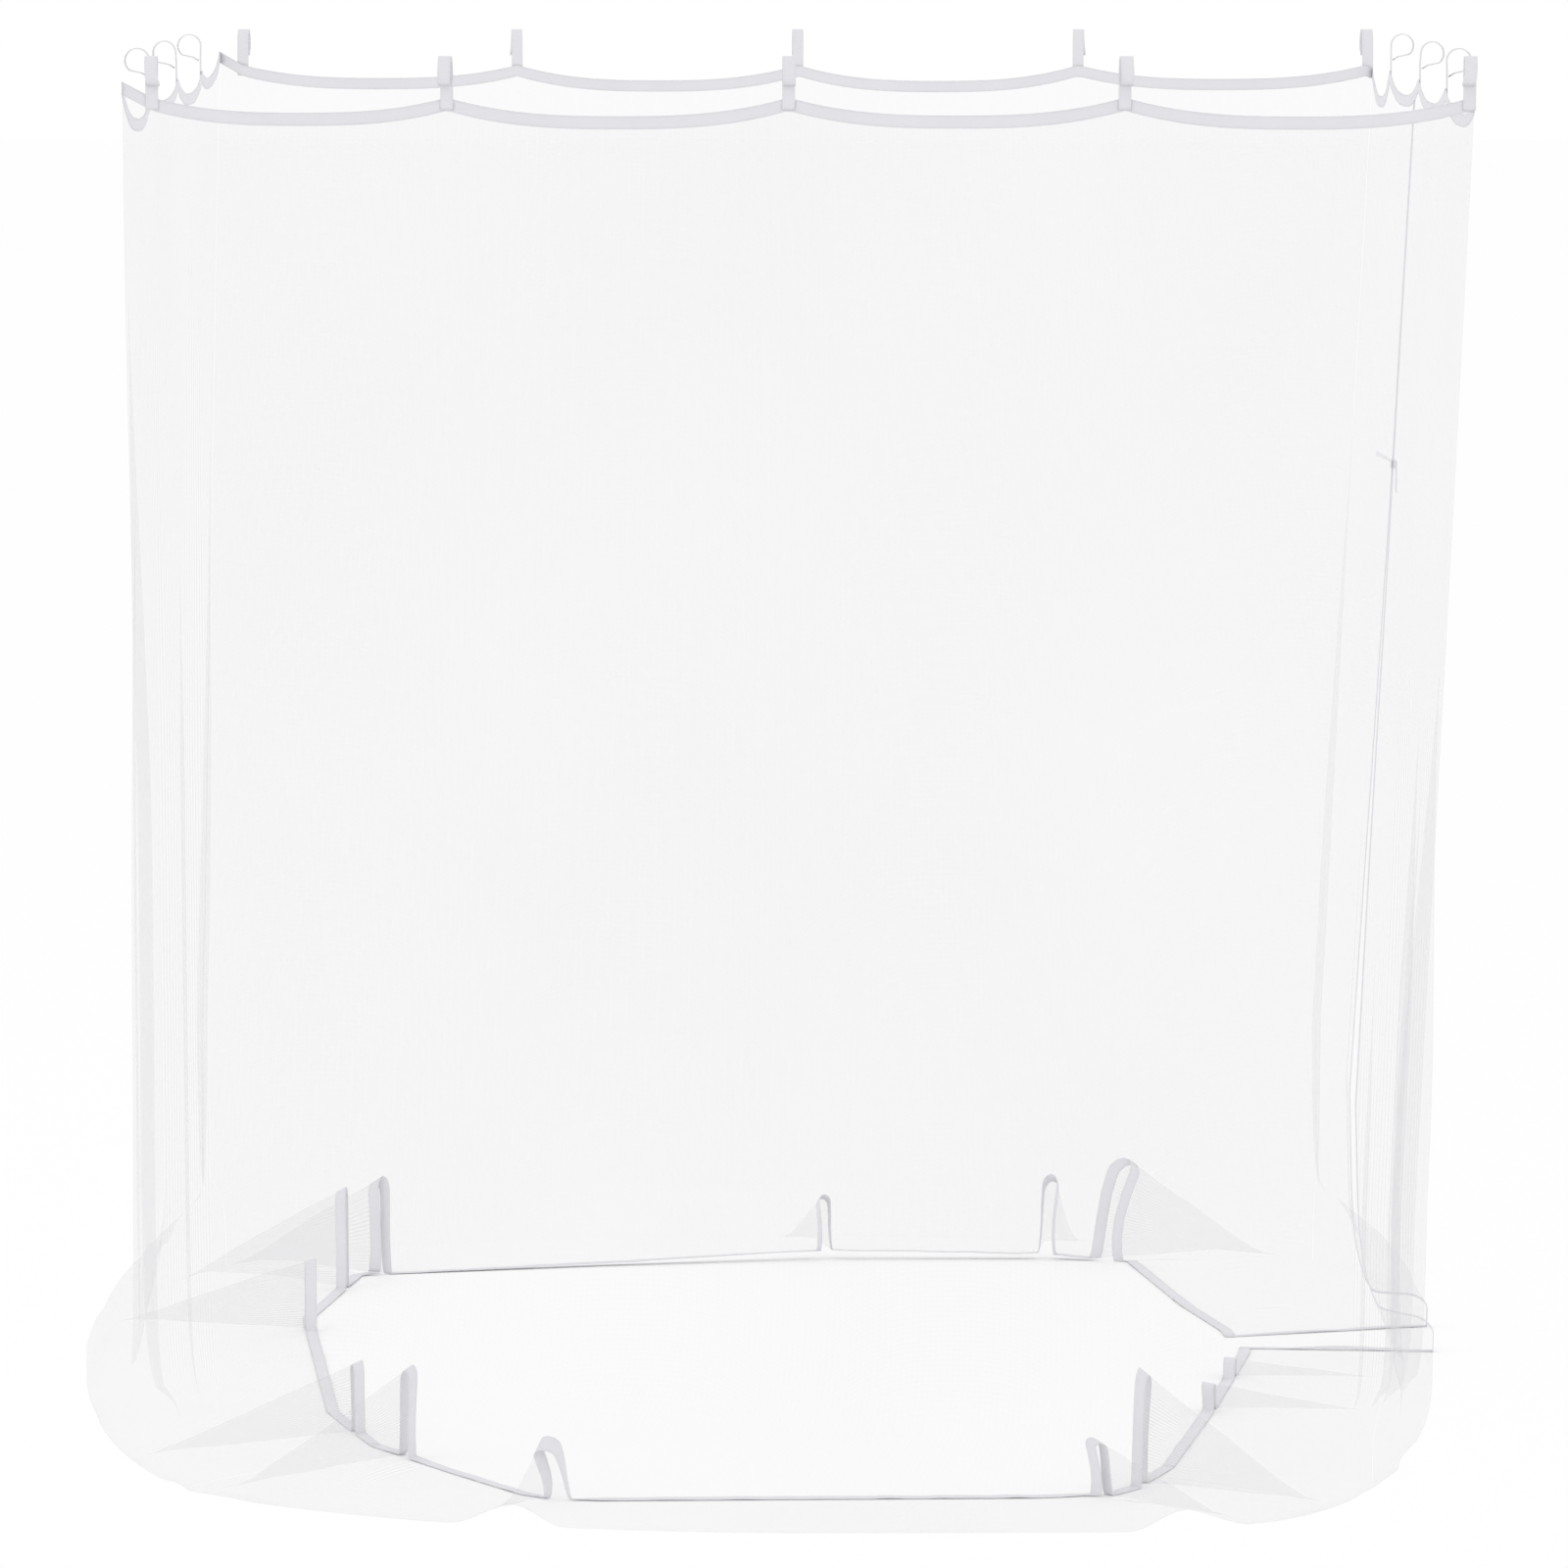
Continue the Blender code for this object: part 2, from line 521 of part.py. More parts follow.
def build():
    for thing in list(bpy.context.scene.objects):
        bpy.data.objects.remove(thing)
    frame = bpy.data.objects.new("net_frame", None)
    frame.location = (*SHIFT, 0.0)
    bpy.context.scene.collection.objects.link(frame)
    materials = {
        "net": finish("white_net", (0.88, 0.88, 0.90), 0.8, alpha=0.35),
        "tape": finish("white_tape", (0.80, 0.79, 0.84), 0.7),
        "slider": finish("white_slider", (0.78, 0.78, 0.80), 0.4),
    }
    half = SEAM_GAP / 2
    corner = [RUNS[k] for k in CORNERS]
    edge = COIL_WIDTH / 2 + GAP
    inner = edge + ZIP_TAPE_WIDTH
    panels = {
        "right_front": (inner + SEAM_GAP, corner[0] - half),
        "front": (corner[0] + half, corner[1] - half),
        "left": (corner[1] + half, corner[2] - half),
        "back": (corner[2] + half, corner[3] - half),
        "right_back": (corner[3] + half, WHOLE - inner - SEAM_GAP),
    }
    for side, (start, end) in panels.items():
        net_panel(f"net_{side}", start, end, materials["net"])
        hem_tape(f"hem_tape_{side}", start, end, materials["tape"])
    for side in ("front", "left", "back"):
        top_tape(f"top_tape_{side}", *panels[side], materials["tape"])
    top_tape("top_tape_right", corner[3] + half - WHOLE, corner[0] - half, materials["tape"])
    zip_tape("zip_tape_front", edge, inner, materials["tape"])
    zip_tape("zip_tape_back", WHOLE - inner, WHOLE - edge, materials["tape"])
    zip_coil("zip_coil", materials["tape"])
    slider_and_pulls(materials)
    sewn = [hold for hold in HOLDS if hold.strap]
    for number, hold in enumerate(sewn, start=1):
        strap(f"strap_{number:02d}", hold, materials["tape"])


if __name__ == "__main__":
    build()
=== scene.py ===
"""The looks of a gazebo's mosquito net: sheer panels, woven tapes and straps, a zip, and a plain stage."""

import math
from collections import namedtuple

import bmesh
import bpy
import numpy as np
from bpy.props import FloatProperty, FloatVectorProperty, PointerProperty
from mathutils import Matrix, Vector, noise


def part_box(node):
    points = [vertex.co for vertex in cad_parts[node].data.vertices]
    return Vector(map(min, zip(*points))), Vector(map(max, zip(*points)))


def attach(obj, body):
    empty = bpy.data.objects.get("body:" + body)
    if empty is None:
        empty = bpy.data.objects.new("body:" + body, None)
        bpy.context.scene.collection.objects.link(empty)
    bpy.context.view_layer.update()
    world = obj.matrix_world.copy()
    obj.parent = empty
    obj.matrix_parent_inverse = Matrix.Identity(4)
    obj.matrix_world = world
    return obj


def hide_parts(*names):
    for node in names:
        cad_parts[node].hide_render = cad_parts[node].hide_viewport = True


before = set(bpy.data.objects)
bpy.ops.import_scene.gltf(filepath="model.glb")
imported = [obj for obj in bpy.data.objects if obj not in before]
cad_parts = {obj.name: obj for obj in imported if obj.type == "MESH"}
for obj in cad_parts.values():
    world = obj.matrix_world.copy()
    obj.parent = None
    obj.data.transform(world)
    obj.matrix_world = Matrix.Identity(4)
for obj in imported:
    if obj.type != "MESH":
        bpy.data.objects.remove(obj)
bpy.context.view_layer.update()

bl_info = {
    "name": "Gazebo mosquito net",
    "version": (1, 0, 0),
    "blender": (4, 5, 0),
    "location": "3D View > Sidebar > Net",
    "description": "Makes the panels, tapes, straps and zip of a hanging mosquito net round its solids",
    "category": "Object",
}

# The rails that the net hangs from, and the middle of its footprint, in metres
RAIL_SPAN = 2.0
RAIL_DEPTH = 2.0426
STRAP_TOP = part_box("strap_05")[1].z
TAPE_WIDTH = 0.019
TAPE_THICKNESS = 0.0018
STRAP_THICKNESS = 0.0018
LOOP_RADIUS = 0.0185
KNEE = 0.42
GAP = 0.0003
STRAP_OFFSET = (TAPE_THICKNESS + STRAP_THICKNESS) / 2 + GAP
WALL_X = RAIL_SPAN / 2 - STRAP_OFFSET - LOOP_RADIUS
WALL_Y = RAIL_DEPTH / 2 - STRAP_OFFSET - LOOP_RADIUS
SHIFT = Vector((0.049, -0.02, 0.0))

# Places round the net, from the zip past the front right corner and back to the zip: plan positions at the
# top edge, knee height, the outer fold on the floor and the hem, the bulge's height and the hem's lift
Place = namedtuple("Place", "top knee rim hem bulge lift")
PLACES = (
    Place((WALL_X, 0.10), (0.897, 0.09), (1.035, 0.190), (0.722, 0.216), 0.070, 0.0),
    Place((WALL_X, 0.04), (0.898, 0.031), (1.030, 0.131), (0.716, 0.158), 0.072, 0.0),
    Place((WALL_X, -0.49), (0.912, -0.46), (0.985, -0.340), (0.640, -0.290), 0.100, 0.0),
    Place((WALL_X, -WALL_Y), (0.912, -0.985), (0.855, -0.925), (0.550, -0.760), 0.150, 0.0),
    Place((0.72, -WALL_Y), (0.690, -1.000), (0.690, -1.165), (0.476, -0.962), 0.120, 0.0),
    Place((0.47, -WALL_Y), (0.455, -1.005), (0.450, -1.240), (0.340, -0.978), 0.105, 0.0),
    Place((-0.01, -WALL_Y), (-0.010, -1.010), (0.010, -1.245), (-0.010, -0.987), 0.100, 0.0),
    Place((-0.51, -WALL_Y), (-0.500, -1.010), (-0.440, -1.190), (-0.372, -1.000), 0.100, 0.0),
    Place((-0.75, -WALL_Y), (-0.740, -1.005), (-0.680, -1.100), (-0.515, -0.790), 0.120, 0.0),
    Place((-WALL_X, -WALL_Y), (-0.978, -0.992), (-0.915, -0.925), (-0.640, -0.590), 0.150, 0.0),
    Place((-WALL_X, -0.47), (-0.995, -0.450), (-1.085, -0.400), (-0.716, -0.330), 0.110, 0.0),
    Place((-WALL_X, 0.065), (-1.005, 0.070), (-1.140, 0.080), (-0.760, 0.080), 0.100, 0.0),
    Place((-WALL_X, 0.585), (-1.020, 0.570), (-1.120, 0.560), (-0.803, 0.470), 0.105, 0.0),
    Place((-WALL_X, WALL_Y), (-1.028, 1.015), (-0.985, 0.980), (-0.742, 0.884), 0.140, 0.0),
    Place((-0.474, WALL_Y), (-0.480, 1.070), (-0.500, 1.235), (-0.340, 0.974), 0.110, 0.004),
    Place((0.003, WALL_Y), (0.000, 1.080), (-0.020, 1.285), (0.048, 1.045), 0.105, 0.014),
    Place((0.479, WALL_Y), (0.460, 1.070), (0.470, 1.234), (0.430, 1.044), 0.112, 0.008),
    Place((WALL_X, WALL_Y), (0.905, 1.018), (0.895, 1.030), (0.572, 1.020), 0.140, 0.0),
    Place((WALL_X, 0.62), (0.905, 0.640), (1.030, 0.680), (0.643, 0.600), 0.100, 0.0),
    Place((WALL_X, 0.16), (0.898, 0.258), (1.041, 0.456), (0.699, 0.360), 0.072, 0.0),
    Place((WALL_X, 0.10), (0.897, 0.200), (1.042, 0.400), (0.703, 0.303), 0.070, 0.0),
)
CORNERS = (3, 9, 13, 17)

# Points that hold the top tape up, the drop of the scallop after each, and whether a strap is sewn there
Hold = namedtuple("Hold", "top height drop strap")
HOLDS = (
    Hold((WALL_X, 0.02), 2.056, 0.030, True),
    Hold((WALL_X, -0.49), 2.056, 0.030, True),
    Hold((0.972, -WALL_Y), 2.054, 0.027, True),
    Hold((0.473, -WALL_Y), 2.055, 0.026, True),
    Hold((-0.014, -WALL_Y), 2.055, 0.027, True),
    Hold((-0.509, -WALL_Y), 2.055, 0.022, True),
    Hold((-0.936, -WALL_Y), 2.055, 0.0, True),
    Hold((-WALL_X, -WALL_Y), 2.078, 0.050, False),
    Hold((-WALL_X, -0.47), 2.056, 0.026, True),
    Hold((-WALL_X, 0.065), 2.056, 0.030, True),
    Hold((-WALL_X, 0.585), 2.056, 0.024, True),
    Hold((-WALL_X, WALL_Y), 2.078, 0.0, False),
    Hold((-0.940, WALL_Y), 2.055, 0.022, True),
    Hold((-0.474, WALL_Y), 2.055, 0.026, True),
    Hold((0.003, WALL_Y), 2.055, 0.027, True),
    Hold((0.479, WALL_Y), 2.055, 0.024, True),
    Hold((0.971, WALL_Y), 2.056, 0.048, True),
    Hold((WALL_X, 0.62), 2.056, 0.032, True),
)

# How square the scallops are: 2 is an even curve, more is steeper beside the straps
SCALLOP = 2.7

# Soft upright folds: run, width, depth outwards, where they start and are full, and the share at the rim
Fold = namedtuple("Fold", "run width depth start full at_rim")
FOLDS = (
    Fold(0.52, 0.30, -0.012, 1.60, 0.60, 0.0),
    Fold(0.88, 0.10, -0.020, 1.30, 0.50, 0.3),
    Fold(0.98, 0.07, 0.024, 1.30, 0.45, 0.2),
    Fold(1.05, 0.06, -0.034, 1.40, 0.45, 0.0),
    Fold(1.14, 0.05, -0.018, 1.20, 0.45, 0.5),
    Fold(1.49, 0.09, -0.020, 0.55, 0.20, 7.0),
    Fold(1.80, 0.34, 0.012, 1.30, 0.60, 0.0),
    Fold(2.30, 0.40, -0.014, 1.35, 0.60, 0.0),
    Fold(2.57, 0.09, -0.024, 0.55, 0.20, 6.2),
    Fold(2.78, 0.26, 0.012, 1.20, 0.60, 0.0),
    Fold(2.98, 0.06, -0.034, 2.02, 0.90, 0.3),
    Fold(3.09, 0.06, -0.030, 2.02, 0.90, 0.3),
    Fold(3.34, 0.12, 0.016, 1.90, 0.70, 0.0),
    Fold(4.35, 0.40, 0.014, 1.60, 0.60, 0.0),
    Fold(4.92, 0.12, -0.022, 1.70, 0.60, 0.2),
    Fold(5.12, 0.10, -0.020, 1.90, 0.60, 0.2),
    Fold(5.62, 0.36, 0.014, 1.20, 0.55, 0.0),
    Fold(6.24, 0.30, -0.012, 1.20, 0.55, 0.0),
    Fold(6.93, 0.10, 0.020, 1.90, 0.60, 0.2),
    Fold(7.10, 0.09, -0.022, 1.90, 0.60, 0.2),
    Fold(7.55, 0.26, 0.012, 1.40, 0.60, 0.0),
)

# Creases where the net laps over itself: run, cloth taken on either side, lap, depth, top and full heights
Crease = namedtuple("Crease", "run width lap depth start full")
CREASES = (
    Crease(0.985, 0.045, 0.020, 0.010, 1.10, 0.55),
    Crease(1.138, 0.035, 0.022, 0.006, 1.50, 0.75),
    Crease(1.192, 0.016, 0.009, 0.004, 1.05, 0.55),
    Crease(2.985, 0.034, 0.017, 0.006, 2.02, 1.10),
    Crease(5.020, 0.030, 0.012, 0.008, 1.50, 0.60),
    Crease(7.060, 0.030, 0.012, 0.008, 1.50, 0.60),
)

# Standing pleats of the skirt: run, height, half width, cloth on either side, start of the ridge, lean
Pleat = namedtuple("Pleat", "run height half spread start lean")
PLEATS = (
    Pleat(0.30, 0.030, 0.012, 0.050, 0.25, -0.010),
    Pleat(0.62, 0.045, 0.013, 0.060, 0.20, 0.012),
    Pleat(1.27, 0.172, 0.016, 0.085, 0.00, -0.022),
    Pleat(1.42, 0.085, 0.010, 0.050, 0.10, 0.010),
    Pleat(2.56, 0.092, 0.016, 0.070, 0.00, 0.020),
    Pleat(2.96, 0.140, 0.014, 0.075, 0.00, -0.006),
    Pleat(3.26, 0.110, 0.012, 0.065, 0.00, 0.008),
    Pleat(4.50, 0.120, 0.010, 0.065, 0.00, 0.004),
    Pleat(4.93, 0.175, 0.012, 0.080, 0.00, -0.006),
    Pleat(5.11, 0.170, 0.010, 0.055, 0.00, -0.004),
    Pleat(6.05, 0.099, 0.010, 0.055, 0.10, -0.004),
    Pleat(6.53, 0.141, 0.013, 0.065, 0.05, 0.009),
    Pleat(6.87, 0.180, 0.020, 0.085, 0.00, 0.038),
)
# Half of a pleat's section: share of the cloth used, side share of the half width, rise share of the height
SECTION = (
    (0.0, 0.0, 1.0),
    (0.08, 0.55, 0.98),
    (0.16, 0.92, 0.92),
    (0.22, 0.98, 0.86),
    (0.34, 0.90, 0.66),
    (0.50, 0.78, 0.42),
    (0.64, 0.80, 0.22),
    (0.78, 0.92, 0.06),
    (0.90, 1.05, 0.01),
    (1.0, 0.0, 0.0),
)

# The bulge below the knee: how far out towards the rim, how high between the bulge's height and the knee,
# and the share of that height
BULGE = (
    (0.0, 1.0, 1.0),
    (0.06, 0.40, 1.0),
    (0.34, 0.03, 1.0),
    (0.78, 0.0, 0.86),
    (1.0, 0.0, 0.42),
    (1.0, 0.0, 0.0),
)
DOOR_REACH = 0.55
SLIDER_HEIGHT = 1.452
SLIDER_HALF = 0.008
COIL_WIDTH = 0.0046
OPEN_TOOTH = COIL_WIDTH * 0.55
TOOTH_HEIGHT = 0.0011
ZIP_TAPE_WIDTH = 0.011

ROUND = [Vector(place.top) for place in PLACES]
RUNS = np.concatenate([[0.0], np.cumsum([(b - a).length for a, b in zip(ROUND, ROUND[1:])])])
WHOLE = RUNS[-1]


def length(name, about, default):
    """A length in metres."""
    return FloatProperty(name=name, description=about, default=default, unit="LENGTH")


def tint(about, default):
    """A colour."""
    return FloatVectorProperty(name="Colour", description=about, default=default, size=3, subtype="COLOR")


# The net starts to crumple below here, over this drop
CRUMPLE_TOP, CRUMPLE_DROP = 2.02, 0.5
# How far the net and hem tape lie over the floor, and the floor under them
FLOOR_GAP, TAPE_LIFT, FLOOR_DROP = 0.0008, 0.0004, 0.0002
# Where the camera and the lamp stand, how far the camera tips down, and the lamp's size and power
CAMERA_PLACE = Vector((-0.0207, -12.51, 2.381))
CAMERA_TILT = 6.528
LAMP_PLACE = Vector((-4.5, -5.0, 6.0))
LAMP_SIZE, LAMP_POWER = 5.0, 12.0


class NetSizes(bpy.types.PropertyGroup):
    """How fine the net is, and how much of the light it stops"""

    density: FloatProperty(name="Density", description="Share of light that a layer stops", default=0.125)
    pitch: length("Pitch", "From one thread to the next", 0.0018)
    column: length("Column", "Width of the mesh's columns", 0.018)
    colour: tint("Thread colour", (0.66, 0.655, 0.68))


class TapeSizes(bpy.types.PropertyGroup):
    """The woven tapes and straps"""

    thickness: length("Thickness", "Thickness of the tapes", 0.0011)
    rib: length("Rib", "From one rib of the weave to the next", 0.0014)
    stitch: length("Stitch", "Length of a stitch and its gap", 0.0042)
    colour: tint("Tape colour", (0.775, 0.77, 0.805))


class ZipSizes(bpy.types.PropertyGroup):
    """The zip's teeth, slider and pulls"""

    pitch: length("Pitch", "From one tooth to the next", 0.0028)
    bevel: length("Bevel", "Rounding of the slider's edges", 0.0006)
    colour: tint("Slider colour", (0.88, 0.88, 0.90))


class StageSizes(bpy.types.PropertyGroup):
    """The floor, the light and the camera"""

    reach: length("Reach", "Half the width of the floor", 60.0)
    light: FloatProperty(name="Light", description="Strength of the even light", default=1.0)
    lens: FloatProperty(name="Lens", description="Focal length in millimetres", default=181.87)


def column(name):
    """One column of the table of places."""
    return np.array([getattr(place, name) for place in PLACES], float)


def eased(at, knots, values):
    """Values read from a table along a curve with no overshoot."""
    at = np.asarray(at, float)
    values = np.asarray(values, float).reshape(len(knots), -1)
    span = np.diff(knots)
    k = np.clip(np.searchsorted(knots, at, side="right") - 1, 0, len(knots) - 2)
    slopes = np.diff(values, axis=0) / span[:, None]
    product = slopes[1:] * slopes[:-1]
    total = slopes[1:] + slopes[:-1]
    inner = np.where(product > 0, 2 * product / np.where(total != 0, total, 1), 0)
    tangents = np.concatenate([slopes[:1], inner, slopes[-1:]])
    s = ((at - knots[k]) / span[k])[:, None]
    leave, arrive = tangents[k] * span[k][:, None], tangents[k + 1] * span[k][:, None]
    bend = (s - 1) * s * ((s - 1) * leave + s * arrive)
    return values[k] + (values[k + 1] - values[k]) * s * s * (3 - 2 * s) + bend


def around(run, name):
    """A column of the table of places, read along a smooth curve."""
    return eased(run, RUNS, column(name))


def straight(run, name):
    """A plan position read from the table of places along straight lines."""
    values = column(name)
    return np.stack([np.interp(run, RUNS, values[:, k]) for k in range(2)], axis=1)


def run_of(point):
    """How far along the top edge a point of it lies, from the zip."""
    point = Vector(point)
    found = []
    for start, end, begin in zip(ROUND, ROUND[1:], RUNS):
        along = (end - start).normalized()
        step = min(max((point - start).dot(along), 0.0), (end - start).length)
        found.append(((start + along * step - point).length, begin + step))
    return float(min(found)[1])


HOLD_RUNS = np.array([run_of(hold.top) for hold in HOLDS])


def tape_height(run):
    """The middle of the top tape: up at each strap and in a shallow scallop between."""
    starts = np.concatenate([[HOLD_RUNS[-1] - WHOLE], HOLD_RUNS, [HOLD_RUNS[0] + WHOLE]])
    rows = [HOLDS[-1], *HOLDS, HOLDS[0]]
    heights = np.array([row.height for row in rows])
    drops = np.array([row.drop for row in rows])
    at = np.clip(np.searchsorted(starts, run, side="right") - 1, 0, len(starts) - 2)
    share = (run - starts[at]) / (starts[at + 1] - starts[at])
    level = heights[at] + (heights[at + 1] - heights[at]) * share
    return level - drops[at] * (1 - np.abs(2 * share - 1) ** SCALLOP)


def directions(run):
    """The level directions along the top edge and out of the net."""
    step = 0.02
    ahead = straight(np.clip(run + step, 0, WHOLE), "top")
    behind = straight(np.clip(run - step, 0, WHOLE), "top")
    along = ahead - behind
    along /= np.linalg.norm(along, axis=1)[:, None]
    return along, np.stack([-along[:, 1], along[:, 0]], axis=1)


def swell(away):
    """A smooth bump that is 1 at 0 and 0 from 1 on."""
    near = np.clip(1 - np.abs(away), 0, 1)
    return near * near * (3 - 2 * near)


def folded(run, height, out):
    """How far the upright folds push the cloth out, out being 0 at the knee and 1 at the rim."""
    push = np.zeros(len(run))
    for fold in FOLDS:
        grown = np.clip((fold.start - height) / (fold.start - fold.full), 0, 1)
        grown = grown * grown * (3 - 2 * grown)
        push += fold.depth * swell((run - fold.run) / fold.width) * (grown * (1 - out) + fold.at_rim * out)
    return push


def lapped(run, height, out):
    """How far the creases move the cloth along the wall and out of it."""
    along, outward = np.zeros(len(run)), np.zeros(len(run))
    for crease in CREASES:
        away = np.clip((run - crease.run) / crease.width, -1, 1)
        grown = np.clip((crease.start - height) / (crease.start - crease.full), 0, 1) * (1 - out)
        along -= crease.lap * grown * np.sin(math.pi * away)
        outward += crease.depth * grown * np.sin(math.pi * away / 2) * (1 - away**2)
    return along, outward


def crumpled(run, height, coarse, fine):
    """Small unevenness of the cloth, longer upwards than sideways."""
    wide = [noise.noise(Vector((r * 7.0, h * 1.3, 3.1))) for r, h in zip(run, height)]
    narrow = [noise.noise(Vector((r * 26.0, h * 3.5, 8.7))) for r, h in zip(run, height)]
    return coarse * np.array(wide) + fine * np.array(narrow)


def door(run, height):
    """How far the back half's zip edge stands off the front half's below the slider."""
    opened = np.clip((SLIDER_HEIGHT - height) / (SLIDER_HEIGHT - KNEE), 0, 1)
    near = np.clip(1 - (WHOLE - run) / DOOR_REACH, 0, 1)
    return (PLACES[-1].knee[1] - PLACES[0].knee[1]) * opened * near


def moved(run, plan, height, out):
    """A plan position with its folds, creases and crumples."""
    along, outward = directions(run)
    lap, stand = lapped(run, height, out)
    hung = np.clip((CRUMPLE_TOP - height) / CRUMPLE_DROP, 0, 1)
    uneven = crumpled(run, height, 0.0022, 0.0003) * hung
    push = folded(run, height, out) + stand + uneven
    return plan + outward * push[:, None] + along * lap[:, None]


def on_wall(run, drop):
    """Points of the wall between the top edge, where drop is 0, and the knee, where it is 1."""
    top_height = tape_height(run) - TAPE_WIDTH / 2 + 0.001
    height = top_height + (KNEE - top_height) * drop
    top, knee = straight(run, "top"), straight(run, "knee")
    knee[:, 1] -= door(run, KNEE)
    plan = top + (knee - top) * drop
    plan[:, 1] += door(run, height)
    return np.column_stack([moved(run, plan, height, np.zeros(len(run))), height])


def rim_of(run):
    """The outer fold on the floor, in plan."""
    plan = around(run, "rim")
    return plan + directions(run)[1] * folded(run, np.zeros(len(run)), np.ones(len(run)))[:, None]


def on_bulge(run, step):
    """Points of the bulge between the knee, step 0, and the outer fold on the floor, step 5."""
    out, climb, share = eased(np.full(1, step), np.arange(6.0), BULGE)[0]
    knee = on_wall(run, 1.0)[:, :2]
    bulge = around(run, "bulge")[:, 0]
    height = (bulge + (KNEE - bulge) * climb) * share
    plan = knee + (rim_of(run) - knee) * out
    rough = crumpled(run, height * 3, 0.005, 0.0012) * min(step / 2, 1.0) * min(5 - step, 1.0)
    height = np.maximum(height + rough * (1 if step > 1.5 else 0), FLOOR_GAP)
    return np.column_stack([plan + directions(run)[1] * rough[:, None] * 0.5, height])


def on_floor(run, share):
    """Points of the skirt, from the outer fold, share 0, to the hem, share 1, with its pleats."""
    share = np.broadcast_to(share, run.shape)

    def flat(at):
        return rim_of(at) + (straight(at, "hem") - rim_of(at)) * share[:, None]

    plan = flat(run)
    height = FLOOR_GAP + around(run, "lift")[:, 0] * share**2
    lifted = np.abs(crumpled(run, share * 0.9, 0.006, 0.004))
    height += lifted * np.clip(share * 6, 0, 1) * np.clip((1 - share) * 4, 0.25, 1)
    used, side, rise = np.array(SECTION).T
    for pleat in PLEATS:
        grown = np.clip((share - pleat.start) / (1 - pleat.start), 0, 1)
        middle = flat(np.full(len(run), pleat.run))
        away = (run - pleat.run) / pleat.spread
        inside = np.abs(away) < 1
        ends = straight(np.array([pleat.run - pleat.spread, pleat.run + pleat.spread]), "hem")
        along = (ends[1] - ends[0]) / np.linalg.norm(ends[1] - ends[0])
        climb = np.interp(np.abs(away), used, rise)
        reach = np.interp(np.abs(away), used[:-1], side[:-1]) * pleat.half * np.sign(away)
        stood = middle + along * (reach + pleat.lean * climb * climb)[:, None]
        mix = np.where(inside, grown, 0)
        plan = plan + (stood - plan) * mix[:, None]
        height = height + mix * climb * pleat.height
    return np.column_stack([plan, height])


def hem_share(run, distance):
    """The share of the way to the hem that leaves a distance to go."""
    length = np.linalg.norm(straight(run, "hem") - rim_of(run), axis=1)
    return 1 - distance / length


def columns(start, end, step):
    """The columns of a panel: even ones, and those of the creases and pleats between them."""
    marks = []
    for pleat in PLEATS:
        marks += [pleat.run + pleat.spread * used * way for used, _, _ in SECTION for way in (-1, 1)]
    for crease in CREASES:
        marks += [crease.run + crease.width * k / 6 for k in range(-6, 7)]
    marks = sorted({round(m, 5) for m in marks if start + 0.002 < m < end - 0.002})
    kept = [start]
    for mark in [*marks, end]:
        if mark < end and mark - kept[-1] < 0.0015:
            continue
        parts = max(1, math.ceil((mark - kept[-1]) / step))
        kept += list(np.linspace(kept[-1], mark, parts + 1)[1:])
    return np.array(kept)


def grid(name, rows, across, thickness, finish):
    """A sheet over rows of points; across holds each column's place along the rows, for the weave."""
    points = np.array(rows) + np.array(SHIFT)
    deep, wide = points.shape[:2]
    lengths = np.zeros((deep, wide))
    lengths[1:] = np.cumsum(np.linalg.norm(np.diff(points, axis=0), axis=2), axis=0)
    mesh = bpy.data.meshes.new(name)
    faces = [
        (k * wide + j, k * wide + j + 1, (k + 1) * wide + j + 1, (k + 1) * wide + j)
        for k in range(deep - 1)
        for j in range(wide - 1)
    ]
    mesh.from_pydata([tuple(p) for p in points.reshape(-1, 3)], [], faces)
    cloth = mesh.uv_layers.new(name="cloth")
    spots = np.stack([np.broadcast_to(across, (deep, wide)), lengths], axis=2).reshape(-1, 2)
    corners = np.empty(len(mesh.loops), dtype=np.int32)
    mesh.loops.foreach_get("vertex_index", corners)
    cloth.uv.foreach_set("vector", spots[corners].astype(np.float32).ravel())
    mesh.polygons.foreach_set("use_smooth", [True] * len(mesh.polygons))
    thing = shown(name, mesh, finish)
    if thickness:
        solid = thing.modifiers.new("Thickness", "SOLIDIFY")
        solid.thickness = thickness
        solid.offset = 0.0
        apply_modifiers(thing)
    return thing


def shown(name, mesh, finish):
    """An object of a mesh in its finish."""
    thing = bpy.data.objects.new(name, mesh)
    mesh.materials.append(finish)
    bpy.context.scene.collection.objects.link(thing)
    return thing


def apply_modifiers(thing):
    """Bakes an object's modifiers into its mesh."""
    evaluated = thing.evaluated_get(bpy.context.evaluated_depsgraph_get())
    mesh = bpy.data.meshes.new_from_object(evaluated)
    old = thing.data
    thing.modifiers.clear()
    thing.data = mesh
    bpy.data.meshes.remove(old)


def stands_for(thing, *nodes, slot):
    """Makes a piece ride on the net's one body in place of its solids."""
    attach(thing, "root")
    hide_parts(*nodes)


